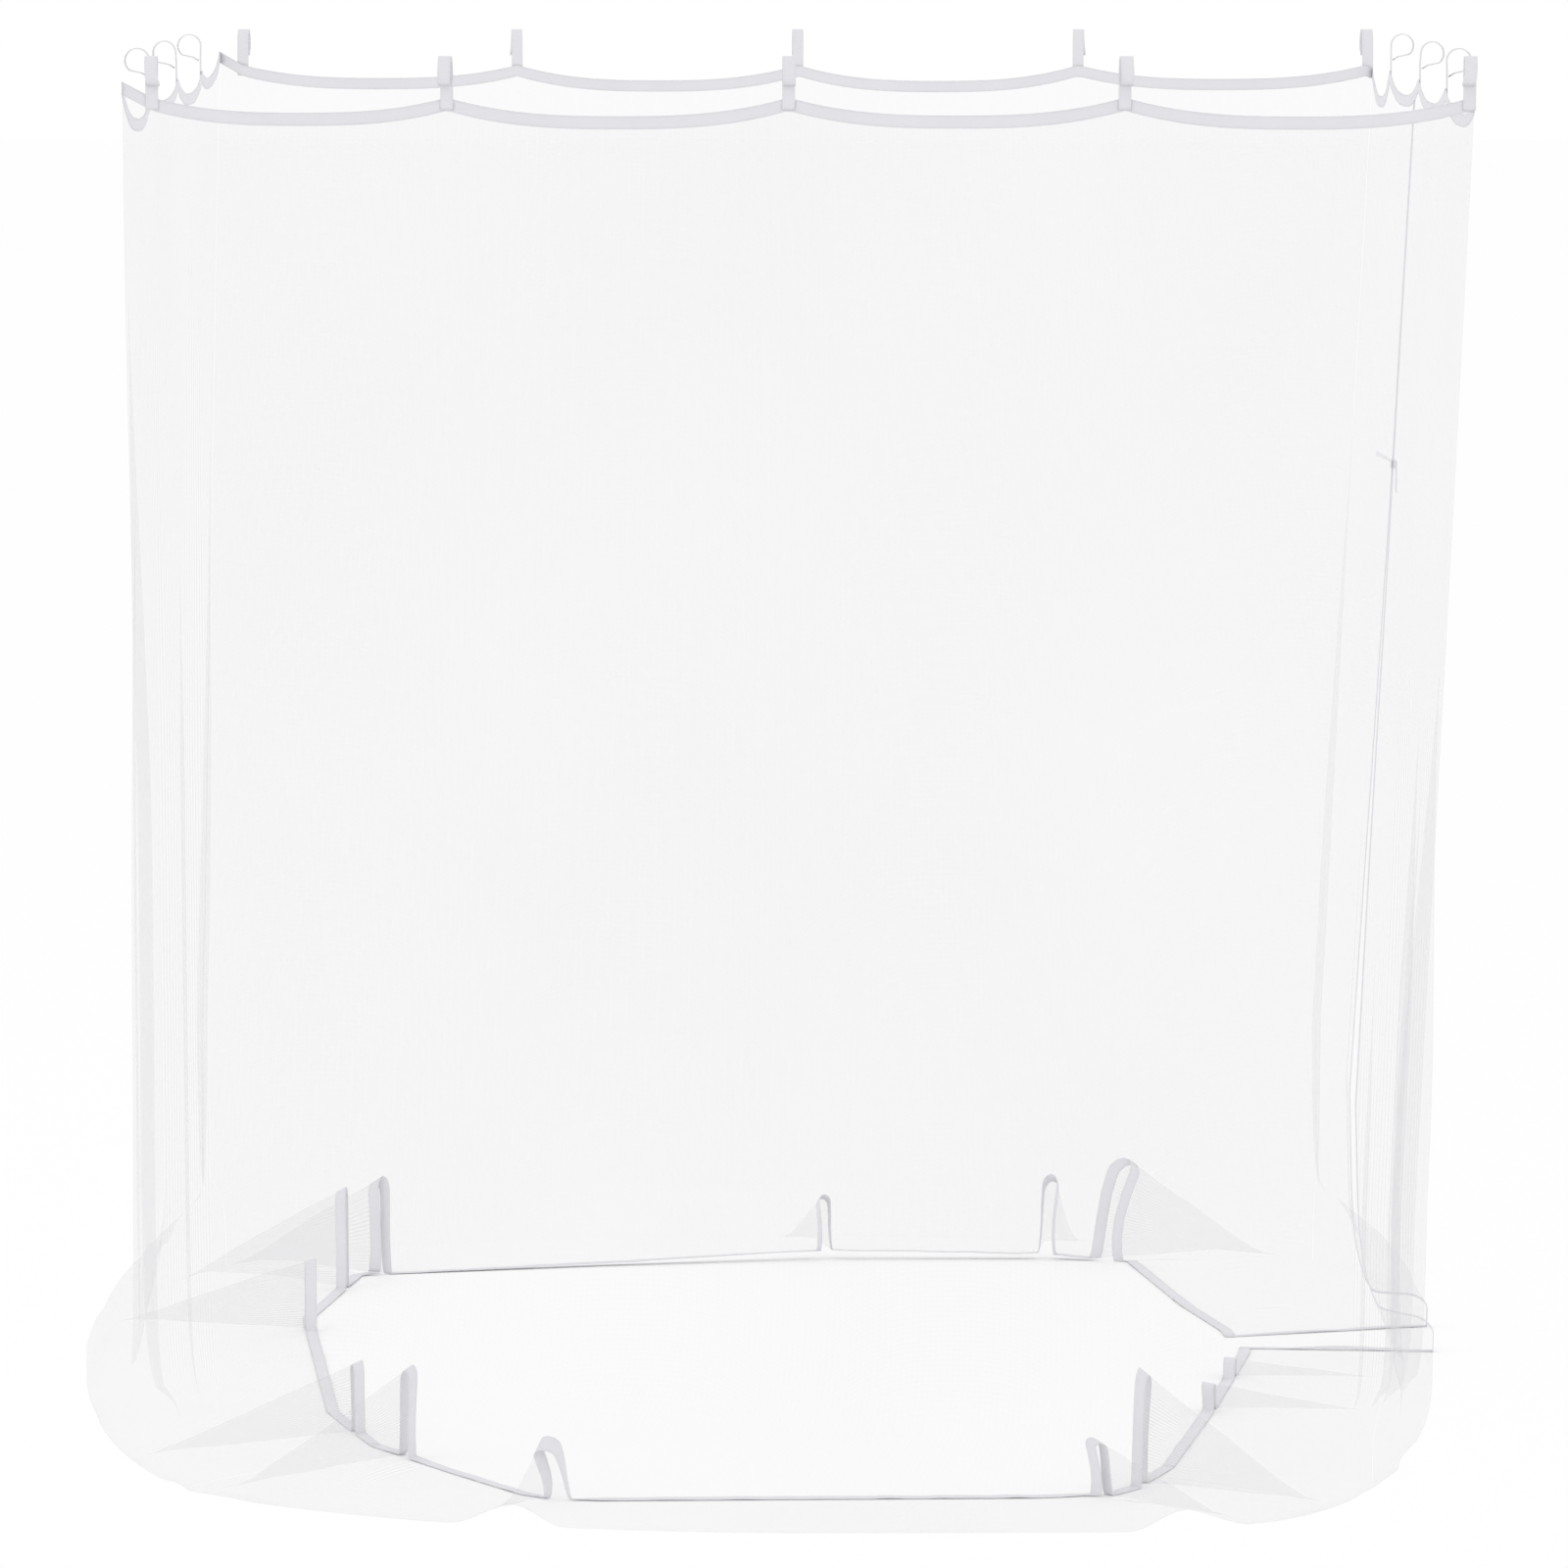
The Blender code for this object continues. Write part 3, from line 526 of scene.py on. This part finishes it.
class Wire:
    """A shader socket that takes part in sums."""

    def __init__(self, finish, socket):
        self.finish, self.socket = finish, socket

    def maths(self, operation, *values):
        return self.finish.node("ShaderNodeMath", {"operation": operation}, dict(enumerate(values)))

    def __add__(self, other):
        return self.maths("ADD", self, other)

    def __sub__(self, other):
        return self.maths("SUBTRACT", self, other)

    def __rsub__(self, other):
        return self.maths("SUBTRACT", other, self)

    def __mul__(self, other):
        return self.maths("MULTIPLY", self, other)

    def __truediv__(self, other):
        return self.maths("DIVIDE", self, other)

    def within(self):
        """The value, kept between 0 and 1."""
        return self.maths("MINIMUM", self.maths("MAXIMUM", self, 0.0), 1.0)

    def larger(self, other):
        return self.maths("MAXIMUM", self, other)

    def size(self):
        return self.maths("ABSOLUTE", self)

    def swing(self, length):
        """The distance to the nearest multiple of twice a length."""
        return self.maths("PINGPONG", self, length)

    __radd__ = __add__
    __rmul__ = __mul__


class Finish:
    """A material under construction, with one Principled shader."""

    def __init__(self, name, **fixed):
        self.material = bpy.data.materials.new(name)
        self.material.use_nodes = True
        self.tree = self.material.node_tree
        self.shader = self.tree.nodes["Principled BSDF"]
        for socket, value in fixed.items():
            self.shader.inputs[socket.replace("_", " ")].default_value = value

    def node(self, kind, settings=None, sockets=None, output=0):
        """A node with its settings made first, then the values or links of its sockets."""
        made = self.tree.nodes.new(kind)
        for key, value in (settings or {}).items():
            setattr(made, key, value)
        for key, value in (sockets or {}).items():
            self.feed(made.inputs[key], value)
        return Wire(self, made.outputs[output])

    def feed(self, socket, value):
        if isinstance(value, Wire):
            self.tree.links.new(value.socket, socket)
        else:
            socket.default_value = value

    def varies(self, socket, value):
        self.feed(self.shader.inputs[socket], value)

    def cloth(self):
        """The places along and across the cloth, in metres."""
        spot = self.node("ShaderNodeUVMap", {"uv_map": "cloth"})
        parts = self.node("ShaderNodeSeparateXYZ", None, {0: spot})
        return parts, Wire(self, parts.socket.node.outputs[1])

    def speckle(self, scale, detail=3.0):
        """Soft noise over the object, from 0 to 1."""
        spot = self.node("ShaderNodeTexCoord", output=3)
        return self.node("ShaderNodeTexNoise", None, {"Vector": spot, "Scale": scale, "Detail": detail})

    def blend(self, factor, first, second):
        """Two colours mixed by a factor."""
        sockets = {0: factor, 6: (*first, 1), 7: (*second, 1)}
        return self.node("ShaderNodeMix", {"data_type": "RGBA"}, sockets, 2)

    def bump(self, height, strength, distance):
        """A bump from heights, on the shader's normal."""
        sockets = {"Height": height, "Strength": strength, "Distance": distance}
        self.varies("Normal", self.node("ShaderNodeBump", None, sockets))


def darker(colour, share):
    """A colour times a share."""
    return tuple(part * share for part in colour)


def net_finish(sizes):
    """Sheer knitted net: fine crossing threads that stop a small share of the light."""
    finish = Finish("net_mesh", Roughness=0.75)
    along, down = finish.cloth()
    half = sizes.pitch / 2
    thread_width = 3.0
    upright = 1 - along.swing(half) / half * thread_width
    level = 1 - down.swing(half) / half * thread_width
    threads = upright.larger(level).within()
    patches = finish.speckle(1.7)
    density = (threads * 1.5 + 0.55) * (patches * 0.8 + 0.6) * sizes.density
    finish.varies("Alpha", density)
    colour = tuple(sizes.colour)
    finish.varies("Base Color", finish.blend(patches, darker(colour, 0.97), darker(colour, 1.03)))
    return finish.material


def woven_finish(name, sizes, width, twill):
    """Woven tape with ribs, a row of stitches near either edge, and slight soiling."""
    finish = Finish(name, Roughness=0.8, Sheen_Weight=0.15, Sheen_Roughness=0.5)
    along, down = finish.cloth()
    rib = sizes.rib
    ribs = (along + down * twill).swing(rib / 2) / (rib / 2)
    picks = down.swing(rib / 3) / (rib / 3)
    edge = (down - width / 2).size()
    row = (1 - (edge - (width / 2 - 0.0028)).size() / 0.0006).within()
    dash = ((along.swing(sizes.stitch / 2) / (sizes.stitch / 2) - 0.3) * 4).within()
    stitches = row * dash
    soil = finish.speckle(14.0, 5.0)
    colour = tuple(sizes.colour)
    shade = (ribs * 0.35 + soil * 0.45 + stitches * 0.5).within()
    finish.varies("Base Color", finish.blend(shade, darker(colour, 1.05), darker(colour, 0.90)))
    finish.bump(ribs * 0.6 + picks * 0.3 + stitches * 1.2, 0.5, 0.0003)
    return finish.material


def plain_finish(name, colour, roughness, coat):
    """Painted metal or moulded nylon, a little uneven and rubbed."""
    finish = Finish(name, Coat_Weight=coat, Coat_Roughness=0.3)
    marks = finish.speckle(90.0, 4.0)
    finish.varies("Base Color", finish.blend(marks, darker(colour, 1.03), darker(colour, 0.93)))
    finish.varies("Roughness", marks * 0.25 + roughness)
    finish.bump(marks, 0.15, 0.0002)
    return finish.material


def finish_of(name, make, *values):
    """A finish by name, made the first time it is asked for."""
    return bpy.data.materials.get(name) or make(*values)


def net_material():
    return finish_of("net_mesh", net_finish, bpy.context.scene.net_sizes)


def tape_material():
    sizes = bpy.context.scene.tape_sizes
    return finish_of("tape_weave", woven_finish, "tape_weave", sizes, TAPE_WIDTH, 0.5)


def zip_tape_material():
    sizes = bpy.context.scene.tape_sizes
    return finish_of("zip_tape_weave", woven_finish, "zip_tape_weave", sizes, ZIP_TAPE_WIDTH, 0.0)


def slider_material():
    colour = tuple(bpy.context.scene.zip_sizes.colour)
    return finish_of("slider_paint", plain_finish, "slider_paint", colour, 0.3, 0.4)


def tooth_material():
    return finish_of("coil_nylon", plain_finish, "coil_nylon", (0.86, 0.86, 0.89), 0.35, 0.1)


SEAM = 0.0008
ZIP_EDGE = COIL_WIDTH / 2 + GAP
ZIP_INNER = ZIP_EDGE + ZIP_TAPE_WIDTH
CORNER_RUNS = [RUNS[k] for k in CORNERS]
# Each panel's side, the runs that it spans, its cut size and the tape that it hangs from
Panel = namedtuple("Panel", "side start end flat tape")
PANELS = (
    Panel("right_front", ZIP_INNER - 0.001, CORNER_RUNS[0] - SEAM, (1.09, 2.36), "top_tape_right"),
    Panel("front", CORNER_RUNS[0] + SEAM, CORNER_RUNS[1] - SEAM, (1.96, 2.44), "top_tape_front"),
    Panel("left", CORNER_RUNS[1] + SEAM, CORNER_RUNS[2] - SEAM, (2.00, 2.44), "top_tape_left"),
    Panel("back", CORNER_RUNS[2] + SEAM, CORNER_RUNS[3] - SEAM, (1.96, 2.44), "top_tape_back"),
    Panel("right_back", CORNER_RUNS[3] + SEAM, WHOLE - ZIP_INNER + 0.001, (0.89, 2.36), "top_tape_right"),
)
WALL_ROWS, BULGE_ROWS, FLOOR_ROWS = 44, 22, 16


def surface(run, hem_distance):
    """All rows of the net over its columns, from under the top tape to a distance from the hem."""
    rows = [on_wall(run, drop) for drop in np.linspace(0, 1, WALL_ROWS)]
    rows += [on_bulge(run, step) for step in np.linspace(0, 5, BULGE_ROWS)[1:-1]]
    last = hem_share(run, hem_distance)
    rows += [on_floor(run, last * share) for share in np.linspace(0, 1, FLOOR_ROWS)]
    return rows


class NET_OT_panels(bpy.types.Operator):
    """Make the sheer panels with their folds, creases and pleats"""

    bl_idname = "net.panels"
    bl_label = "Net panels"

    def execute(self, context):
        sizes = context.scene.net_sizes
        for panel in PANELS:
            run = columns(panel.start, panel.end, sizes.column)
            rows = surface(run, TAPE_WIDTH - 0.002)
            thing = grid(f"sheer_{panel.side}", rows, run, None, net_material())
            # The net's own shadow is too faint to see
            thing.visible_shadow = False
            thing.visible_diffuse = False
            stands_for(thing, f"net_{panel.side}", slot="net")
        return {"FINISHED"}


class NET_OT_hem_tapes(bpy.types.Operator):
    """Make the tape that binds the hem, over its pleats"""

    bl_idname = "net.hem_tapes"
    bl_label = "Hem tapes"

    def execute(self, context):
        for panel in PANELS:
            run = columns(panel.start, panel.end, context.scene.net_sizes.column)
            lasts = [hem_share(run, TAPE_WIDTH * (1 - share)) for share in (0, 0.12, 0.5, 0.88, 1)]
            rows = [on_floor(run, last) + np.array((0, 0, TAPE_LIFT)) for last in lasts]
            name = f"hem_binding_{panel.side}"
            thing = grid(name, rows, run, context.scene.tape_sizes.thickness, tape_material())
            stands_for(thing, f"hem_tape_{panel.side}", slot="tape")
        return {"FINISHED"}


TOP_TAPES = {
    "front": (CORNER_RUNS[0] + SEAM, CORNER_RUNS[1] - SEAM),
    "left": (CORNER_RUNS[1] + SEAM, CORNER_RUNS[2] - SEAM),
    "back": (CORNER_RUNS[2] + SEAM, CORNER_RUNS[3] - SEAM),
    "right": (CORNER_RUNS[3] + SEAM - WHOLE, CORNER_RUNS[0] - SEAM),
}


class NET_OT_top_tapes(bpy.types.Operator):
    """Make the scalloped tape along the open top"""

    bl_idname = "net.top_tapes"
    bl_label = "Top tapes"

    def execute(self, context):
        for side, (start, end) in TOP_TAPES.items():
            along = np.linspace(start, end, math.ceil((end - start) / 0.012))
            run = np.mod(along, WHOLE)
            plan, outward = straight(run, "top"), directions(run)[1]
            height = tape_height(run)
            rows = []
            for share in (-0.5, -0.36, -0.12, 0.12, 0.36, 0.5):
                ripple = crumpled(run * 3, np.full(len(run), share), 0.0009, 0.0004)
                spot = plan + outward * ripple[:, None]
                rows.append(np.column_stack([spot, height - TAPE_WIDTH * share]))
            thickness = context.scene.tape_sizes.thickness
            thing = grid(f"heading_{side}", rows, along, thickness, tape_material())
            stands_for(thing, f"top_tape_{side}", slot="tape")
        return {"FINISHED"}


# How each strap's loop sits: its lean along the wall, its roundness upwards and where its end is tucked in
Loop = namedtuple("Loop", "lean squash tuck")
LOOPS = (
    Loop(0.0004, 1.00, 0.0010),
    Loop(-0.0006, 0.97, 0.0014),
    Loop(0.0008, 1.02, 0.0012),
    Loop(-0.0004, 0.98, 0.0010),
    Loop(0.0006, 1.00, 0.0016),
    Loop(0.0002, 1.03, 0.0011),
    Loop(-0.0007, 0.96, 0.0013),
    Loop(0.0005, 1.00, 0.0010),
)


def strap_line(foot, loop):
    """The strap's middle line, outwards and up: up the tape, round the rail and back to itself."""
    centre = STRAP_TOP - STRAP_THICKNESS / 2 - LOOP_RADIUS
    line = [(0.0, foot + (centre - 0.016 - foot) * k / 8) for k in range(9)]
    for degrees in range(172, -53, -8):
        turn = math.radians(degrees)
        reach = LOOP_RADIUS * (1 + loop.squash * math.cos(turn)) + LOOP_RADIUS * (loop.squash - 1)
        line.append((reach - LOOP_RADIUS * (loop.squash - 1) * 2, centre + LOOP_RADIUS * math.sin(turn)))
    line.append((0.012, centre - 0.0185))
    line.append((STRAP_THICKNESS + loop.tuck, centre - 0.024))
    return np.array(line)


def make_strap(name, hold, loop):
    """One strap: a woven strip bent round the rail, with soft edges and its end tucked in."""
    x, y = hold.top
    out = Vector((0, math.copysign(1, y), 0)) if abs(y) == WALL_Y else Vector((math.copysign(1, x), 0, 0))
    along = Vector((-out.y, out.x, 0))
    line = strap_line(hold.height - TAPE_WIDTH / 2 + 0.001, loop)
    base = Vector((x, y, 0)) + out * STRAP_OFFSET
    wide = TAPE_WIDTH - 0.0005
    across = np.array((-0.5, -0.46, -0.2, 0.2, 0.46, 0.5)) * wide
    rows = []
    for step, (reach, height) in enumerate(line):
        lean = loop.lean * max(step - 8, 0) / 6
        spot = base + out * reach + Vector((0, 0, height))
        rows.append([spot + along * (side + lean) for side in across])
    rows = np.array([[tuple(point) for point in row] for row in rows])
    lengths = np.cumsum([0, *np.linalg.norm(np.diff(line, axis=0), axis=1)])
    return grid(name, rows.transpose(1, 0, 2), lengths, 0.0014, tape_material())


class NET_OT_straps(bpy.types.Operator):
    """Make the strap loops"""

    bl_idname = "net.straps"
    bl_label = "Straps"

    def execute(self, context):
        sewn = [hold for hold in HOLDS if hold.strap]
        for number, hold in enumerate(sewn, start=1):
            thing = make_strap(f"loop_{number:02d}", hold, LOOPS[number % len(LOOPS)])
            stands_for(thing, f"strap_{number:02d}", slot="tape")
        return {"FINISHED"}


class NET_OT_zip_tapes(bpy.types.Operator):
    """Make the two tapes of the zip"""

    bl_idname = "net.zip_tapes"
    bl_label = "Zip tapes"

    def execute(self, context):
        spans = {"front": (ZIP_EDGE, ZIP_INNER), "back": (WHOLE - ZIP_INNER, WHOLE - ZIP_EDGE)}
        for half, (start, end) in spans.items():
            run = np.linspace(start, end, 5)
            rows = np.array(surface(run, 0.0))
            lengths = np.cumsum([0, *np.linalg.norm(np.diff(rows[:, 0], axis=0), axis=1)])
            name = f"zip_band_{half}"
            thing = grid(name, rows.transpose(1, 0, 2)[::-1], lengths, 0.0010, zip_tape_material())
            stands_for(thing, f"zip_tape_{half}", slot="zip_tape")
        return {"FINISHED"}


def edge_line(run, high):
    """Points down one edge of the zip, from a height on to the hem."""
    rows = np.array(surface(np.array([run]), 0.0))[:, 0]
    return rows[rows[:, 2] < high]


def teeth(name, line, side, pitch, width, finish):
    """A row of small rounded teeth along a line, each standing across it."""
    steps = np.linalg.norm(np.diff(line, axis=0), axis=1)
    along = np.concatenate([[0], np.cumsum(steps)])
    made = bmesh.new()
    for k in range(int(along[-1] / pitch)):
        at = (k + 0.5) * pitch
        spot = Vector([np.interp(at, along, line[:, axis]) for axis in range(3)])
        ahead = Vector([np.interp(at + pitch, along, line[:, axis]) for axis in range(3)])
        down = (ahead - spot).normalized()
        if down.length < 0.5:
            continue
        sideways = Vector(side)
        outward = down.cross(sideways).normalized()
        axes = (sideways * width / 2, down * pitch * 0.32, outward * TOOTH_HEIGHT)
        shape = Matrix(axes).transposed().to_4x4()
        shape.translation = spot + SHIFT
        bmesh.ops.create_icosphere(made, subdivisions=1, radius=1.0, matrix=shape)
    mesh = bpy.data.meshes.new(name)
    made.to_mesh(mesh)
    made.free()
    mesh.polygons.foreach_set("use_smooth", [True] * len(mesh.polygons))
    return shown(name, mesh, finish)


class NET_OT_zip_teeth(bpy.types.Operator):
    """Make the coil: meshed above the slider, a row on either edge below it"""

    bl_idname = "net.zip_teeth"
    bl_label = "Zip teeth"

    def execute(self, context):
        pitch = context.scene.zip_sizes.pitch
        top = float(tape_height(np.zeros(1))[0]) - TAPE_WIDTH / 2
        closed = np.array([on_wall(np.zeros(1), drop)[0] for drop in np.linspace(0, 1, 60)])
        closed = closed[(closed[:, 2] > SLIDER_HEIGHT + SLIDER_HALF) & (closed[:, 2] < top)]
        coil = teeth("coil_closed", closed, (0, 1, 0), pitch / 2, COIL_WIDTH, tooth_material())
        stands_for(coil, "zip_coil", slot="zip_tape")
        for half, run in (("front", ZIP_EDGE * 0.6), ("back", WHOLE - ZIP_EDGE * 0.6)):
            line = edge_line(run, SLIDER_HEIGHT - SLIDER_HALF)
            row = teeth(f"coil_open_{half}", line, (0, 1, 0), pitch, OPEN_TOOTH, tooth_material())
            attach(row, "root")
        return {"FINISHED"}


def rounded_plate(made, corners, thickness, place):
    """A plate of an outline, extruded along its third axis and set in place."""
    low = [made.verts.new(place @ Vector((a, b, -thickness / 2))) for a, b in corners]
    high = [made.verts.new(place @ Vector((a, b, thickness / 2))) for a, b in corners]
    made.faces.new(low[::-1])
    made.faces.new(high)
    for k in range(len(corners)):
        n = (k + 1) % len(corners)
        made.faces.new([low[k], low[n], high[n], high[k]])


def oval(wide, tall, pinch, steps=20):
    """A rounded outline, narrower at the top by pinch."""
    points = []
    for k in range(steps):
        turn = 2 * math.pi * k / steps
        a, b = math.cos(turn), math.sin(turn)
        squared = (abs(a) ** 4 + abs(b) ** 4) ** -0.25
        narrowed = 1 - pinch * (b * squared + 1) / 2
        points.append((a * squared * wide / 2 * narrowed, b * squared * tall / 2))
    return points


def bevelled(name, made, width, finish):
    """A mesh with softened edges, as an object."""
    bmesh.ops.recalc_face_normals(made, faces=made.faces)
    mesh = bpy.data.meshes.new(name)
    made.to_mesh(mesh)
    made.free()
    thing = shown(name, mesh, finish)
    bevel = thing.modifiers.new("Bevel", "BEVEL")
    bevel.width, bevel.segments, bevel.limit_method = width, 2, "ANGLE"
    apply_modifiers(thing)
    return thing


class NET_OT_slider(bpy.types.Operator):
    """Make the slider and its two pulls"""

    bl_idname = "net.slider"
    bl_label = "Slider and pulls"

    def execute(self, context):
        bevel = context.scene.zip_sizes.bevel
        low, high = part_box("zip_slider")
        middle = (low + high) / 2
        turn = Matrix(((0, 0, 1), (1, 0, 0), (0, 1, 0))).to_4x4()
        body = bmesh.new()
        for out in (0.0030, -0.0030):
            place = Matrix.Translation(middle + Vector((out, 0, 0))) @ turn
            rounded_plate(body, oval(0.013, 0.0150, 0.22), 0.0028, place)
        web = Matrix.Translation(middle) @ turn
        rounded_plate(body, oval(0.0040, 0.0060, 0.3, 12), 0.0040, web @ Matrix.Translation((0, 0.004, 0)))
        bridge = [(-0.0015, -0.005), (0.0015, -0.005), (0.0015, 0.005), (-0.0015, 0.005)]
        rounded_plate(body, bridge, 0.0012, web @ Matrix.Translation((0, 0, 0.0050)))
        slider = bevelled("slider_body", body, bevel, slider_material())
        stands_for(slider, "zip_slider", slot="slider")
        self.outer_pull(bevel)
        self.inner_pull(bevel)
        return {"FINISHED"}

    def outer_pull(self, bevel):
        """A long flat pull that hangs outside, with a hole near its top."""
        low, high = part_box("zip_pull_outer")
        middle = (low + high) / 2
        turn = Matrix(((0, 0, 1), (1, 0, 0), (0, 1, 0))).to_4x4()
        tall, wide = high.z - low.z, high.y - low.y
        rim = oval(wide, tall, 0.16, 28)
        hole = [(a * 0.42, b * 0.16 + tall * 0.33) for a, b in oval(wide, tall, 0.0, 28)]
        pull = bmesh.new()
        layers = []
        for out in (-0.0011, 0.0011):
            place = Matrix.Translation(middle + Vector((out, 0, 0))) @ turn
            rings = [[place @ Vector((a, b, 0)) for a, b in ring] for ring in (rim, hole)]
            layers.append([[pull.verts.new(point) for point in ring] for ring in rings])
        for k in range(len(rim)):
            n = (k + 1) % len(rim)
            (under, under_hole), (over, over_hole) = layers
            pull.faces.new([over[k], over[n], over_hole[n], over_hole[k]])
            pull.faces.new([under[n], under[k], under_hole[k], under_hole[n]])
            pull.faces.new([under[k], under[n], over[n], over[k]])
            pull.faces.new([under_hole[n], under_hole[k], over_hole[k], over_hole[n]])
        thing = bevelled("pull_outside", pull, bevel / 2, slider_material())
        stands_for(thing, "zip_pull_outer", slot="slider")

    def inner_pull(self, bevel):
        """A short pull that sticks in on the other side."""
        low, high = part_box("zip_pull_inner")
        pull = bmesh.new()
        turn = Matrix(((1, 0, 0), (0, 0, 1), (0, 1, 0))).to_4x4()
        corners = ((0.0, 0.16, 0.10), (-0.35, 0.42, 0.17), (-0.8, 0.66, 0.24), (-1.0, 0.70, 0.20))
        tall, deep = high.z - low.z, high.x - low.x
        outline = [(share * deep, (lift - half) * tall) for share, lift, half in corners]
        outline += [(share * deep, (lift + half) * tall) for share, lift, half in reversed(corners)]
        place = Matrix.Translation((high.x, (low.y + high.y) / 2, low.z)) @ turn
        rounded_plate(pull, outline, 0.0022, place)
        thing = bevelled("pull_inside", pull, bevel / 2, slider_material())
        stands_for(thing, "zip_pull_inner", slot="slider")


class NET_OT_stage(bpy.types.Operator):
    """Make the pale floor, the soft light and the camera"""

    bl_idname = "net.stage"
    bl_label = "Stage"

    def execute(self, context):
        sizes = context.scene.stage_sizes
        self.floor(sizes)
        self.light(context, sizes)
        self.camera(context, sizes)
        return {"FINISHED"}

    def floor(self, sizes):
        """A flat white floor that runs far out on all sides."""
        reach = sizes.reach
        corners = ((-reach, -reach), (reach, -reach), (reach, reach), (-reach, reach))
        mesh = bpy.data.meshes.new("floor")
        mesh.from_pydata([(x, y, -FLOOR_DROP) for x, y in corners], [], [(0, 1, 2, 3)])
        white = (0.99, 0.99, 0.99, 1)
        finish = Finish("floor_white", Roughness=0.9, Base_Color=white, Specular_IOR_Level=0.0)
        shown("floor", mesh, finish.material)

    def light(self, context, sizes):
        """An even white surrounding and one broad soft lamp from the upper left."""
        world = bpy.data.worlds.new("studio")
        world.use_nodes = True
        world.node_tree.nodes["Background"].inputs["Color"].default_value = (1, 1, 1, 1)
        world.node_tree.nodes["Background"].inputs["Strength"].default_value = sizes.light
        context.scene.world = world
        lamp = bpy.data.lights.new("soft_box", "AREA")
        lamp.shape, lamp.size, lamp.energy = "SQUARE", LAMP_SIZE, LAMP_POWER
        holder = bpy.data.objects.new("soft_box", lamp)
        holder.location = LAMP_PLACE
        holder.rotation_euler = (Vector((0, 0, 1)) - holder.location).to_track_quat("-Z", "Y").to_euler()
        context.scene.collection.objects.link(holder)

    def camera(self, context, sizes):
        """The photograph's view: far off, just over the net's top, looking a little down."""
        camera = bpy.data.cameras.new("view")
        camera.lens, camera.sensor_width = sizes.lens, 36.0
        camera.clip_start, camera.clip_end = 0.5, 200.0
        holder = bpy.data.objects.new("view", camera)
        holder.location = CAMERA_PLACE + SHIFT
        holder.rotation_euler = (math.radians(90 - CAMERA_TILT), 0, 0)
        context.scene.collection.objects.link(holder)
        context.scene.camera = holder


def declare_sheets():
    """Puts together the names of the tapes and bands sewn to each panel, and keeps nothing of them."""
    sewn = {"right_front": ["heading_right", "zip_band_front"], "right_back": ["zip_band_back"]}
    for panel in PANELS:
        names = sewn.get(panel.side, [f"heading_{panel.side}"]) + [f"hem_binding_{panel.side}"]


class NET_PT_sidebar(bpy.types.Panel):
    """Lists the makers of the net's pieces"""

    bl_label = "Mosquito net"
    bl_idname = "NET_PT_sidebar"
    bl_space_type = "VIEW_3D"
    bl_region_type = "UI"
    bl_category = "Net"

    def draw(self, context):
        for group in ("net_sizes", "tape_sizes", "zip_sizes", "stage_sizes"):
            sizes = getattr(context.scene, group)
            for name in sizes.bl_rna.properties.keys():
                if name not in ("rna_type", "name"):
                    self.layout.prop(sizes, name)
        for maker in MAKERS:
            self.layout.operator(maker.bl_idname)


GROUPS = {"net_sizes": NetSizes, "tape_sizes": TapeSizes, "zip_sizes": ZipSizes, "stage_sizes": StageSizes}
MAKERS = (
    NET_OT_stage,
    NET_OT_panels,
    NET_OT_hem_tapes,
    NET_OT_top_tapes,
    NET_OT_straps,
    NET_OT_zip_tapes,
    NET_OT_zip_teeth,
    NET_OT_slider,
)


def register():
    for name, group in GROUPS.items():
        bpy.utils.register_class(group)
        setattr(bpy.types.Scene, name, PointerProperty(type=group))
    for maker in (*MAKERS, NET_PT_sidebar):
        bpy.utils.register_class(maker)


def unregister():
    for maker in (NET_PT_sidebar, *reversed(MAKERS)):
        bpy.utils.unregister_class(maker)
    for name, group in GROUPS.items():
        delattr(bpy.types.Scene, name)
        bpy.utils.unregister_class(group)


def main():
    register()
    bpy.context.scene.view_settings.view_transform = "Standard"
    # A line of sight passes many layers of net
    bpy.context.scene.cycles.transparent_max_bounces = 64
    bpy.context.scene.cycles.max_bounces = 4
    bpy.context.scene.cycles.diffuse_bounces = 2
    bpy.context.scene.cycles.glossy_bounces = 1
    for maker in MAKERS:
        group, name = maker.bl_idname.split(".")
        getattr(getattr(bpy.ops, group), name)()
    declare_sheets()


if __name__ == "__main__":
    main()
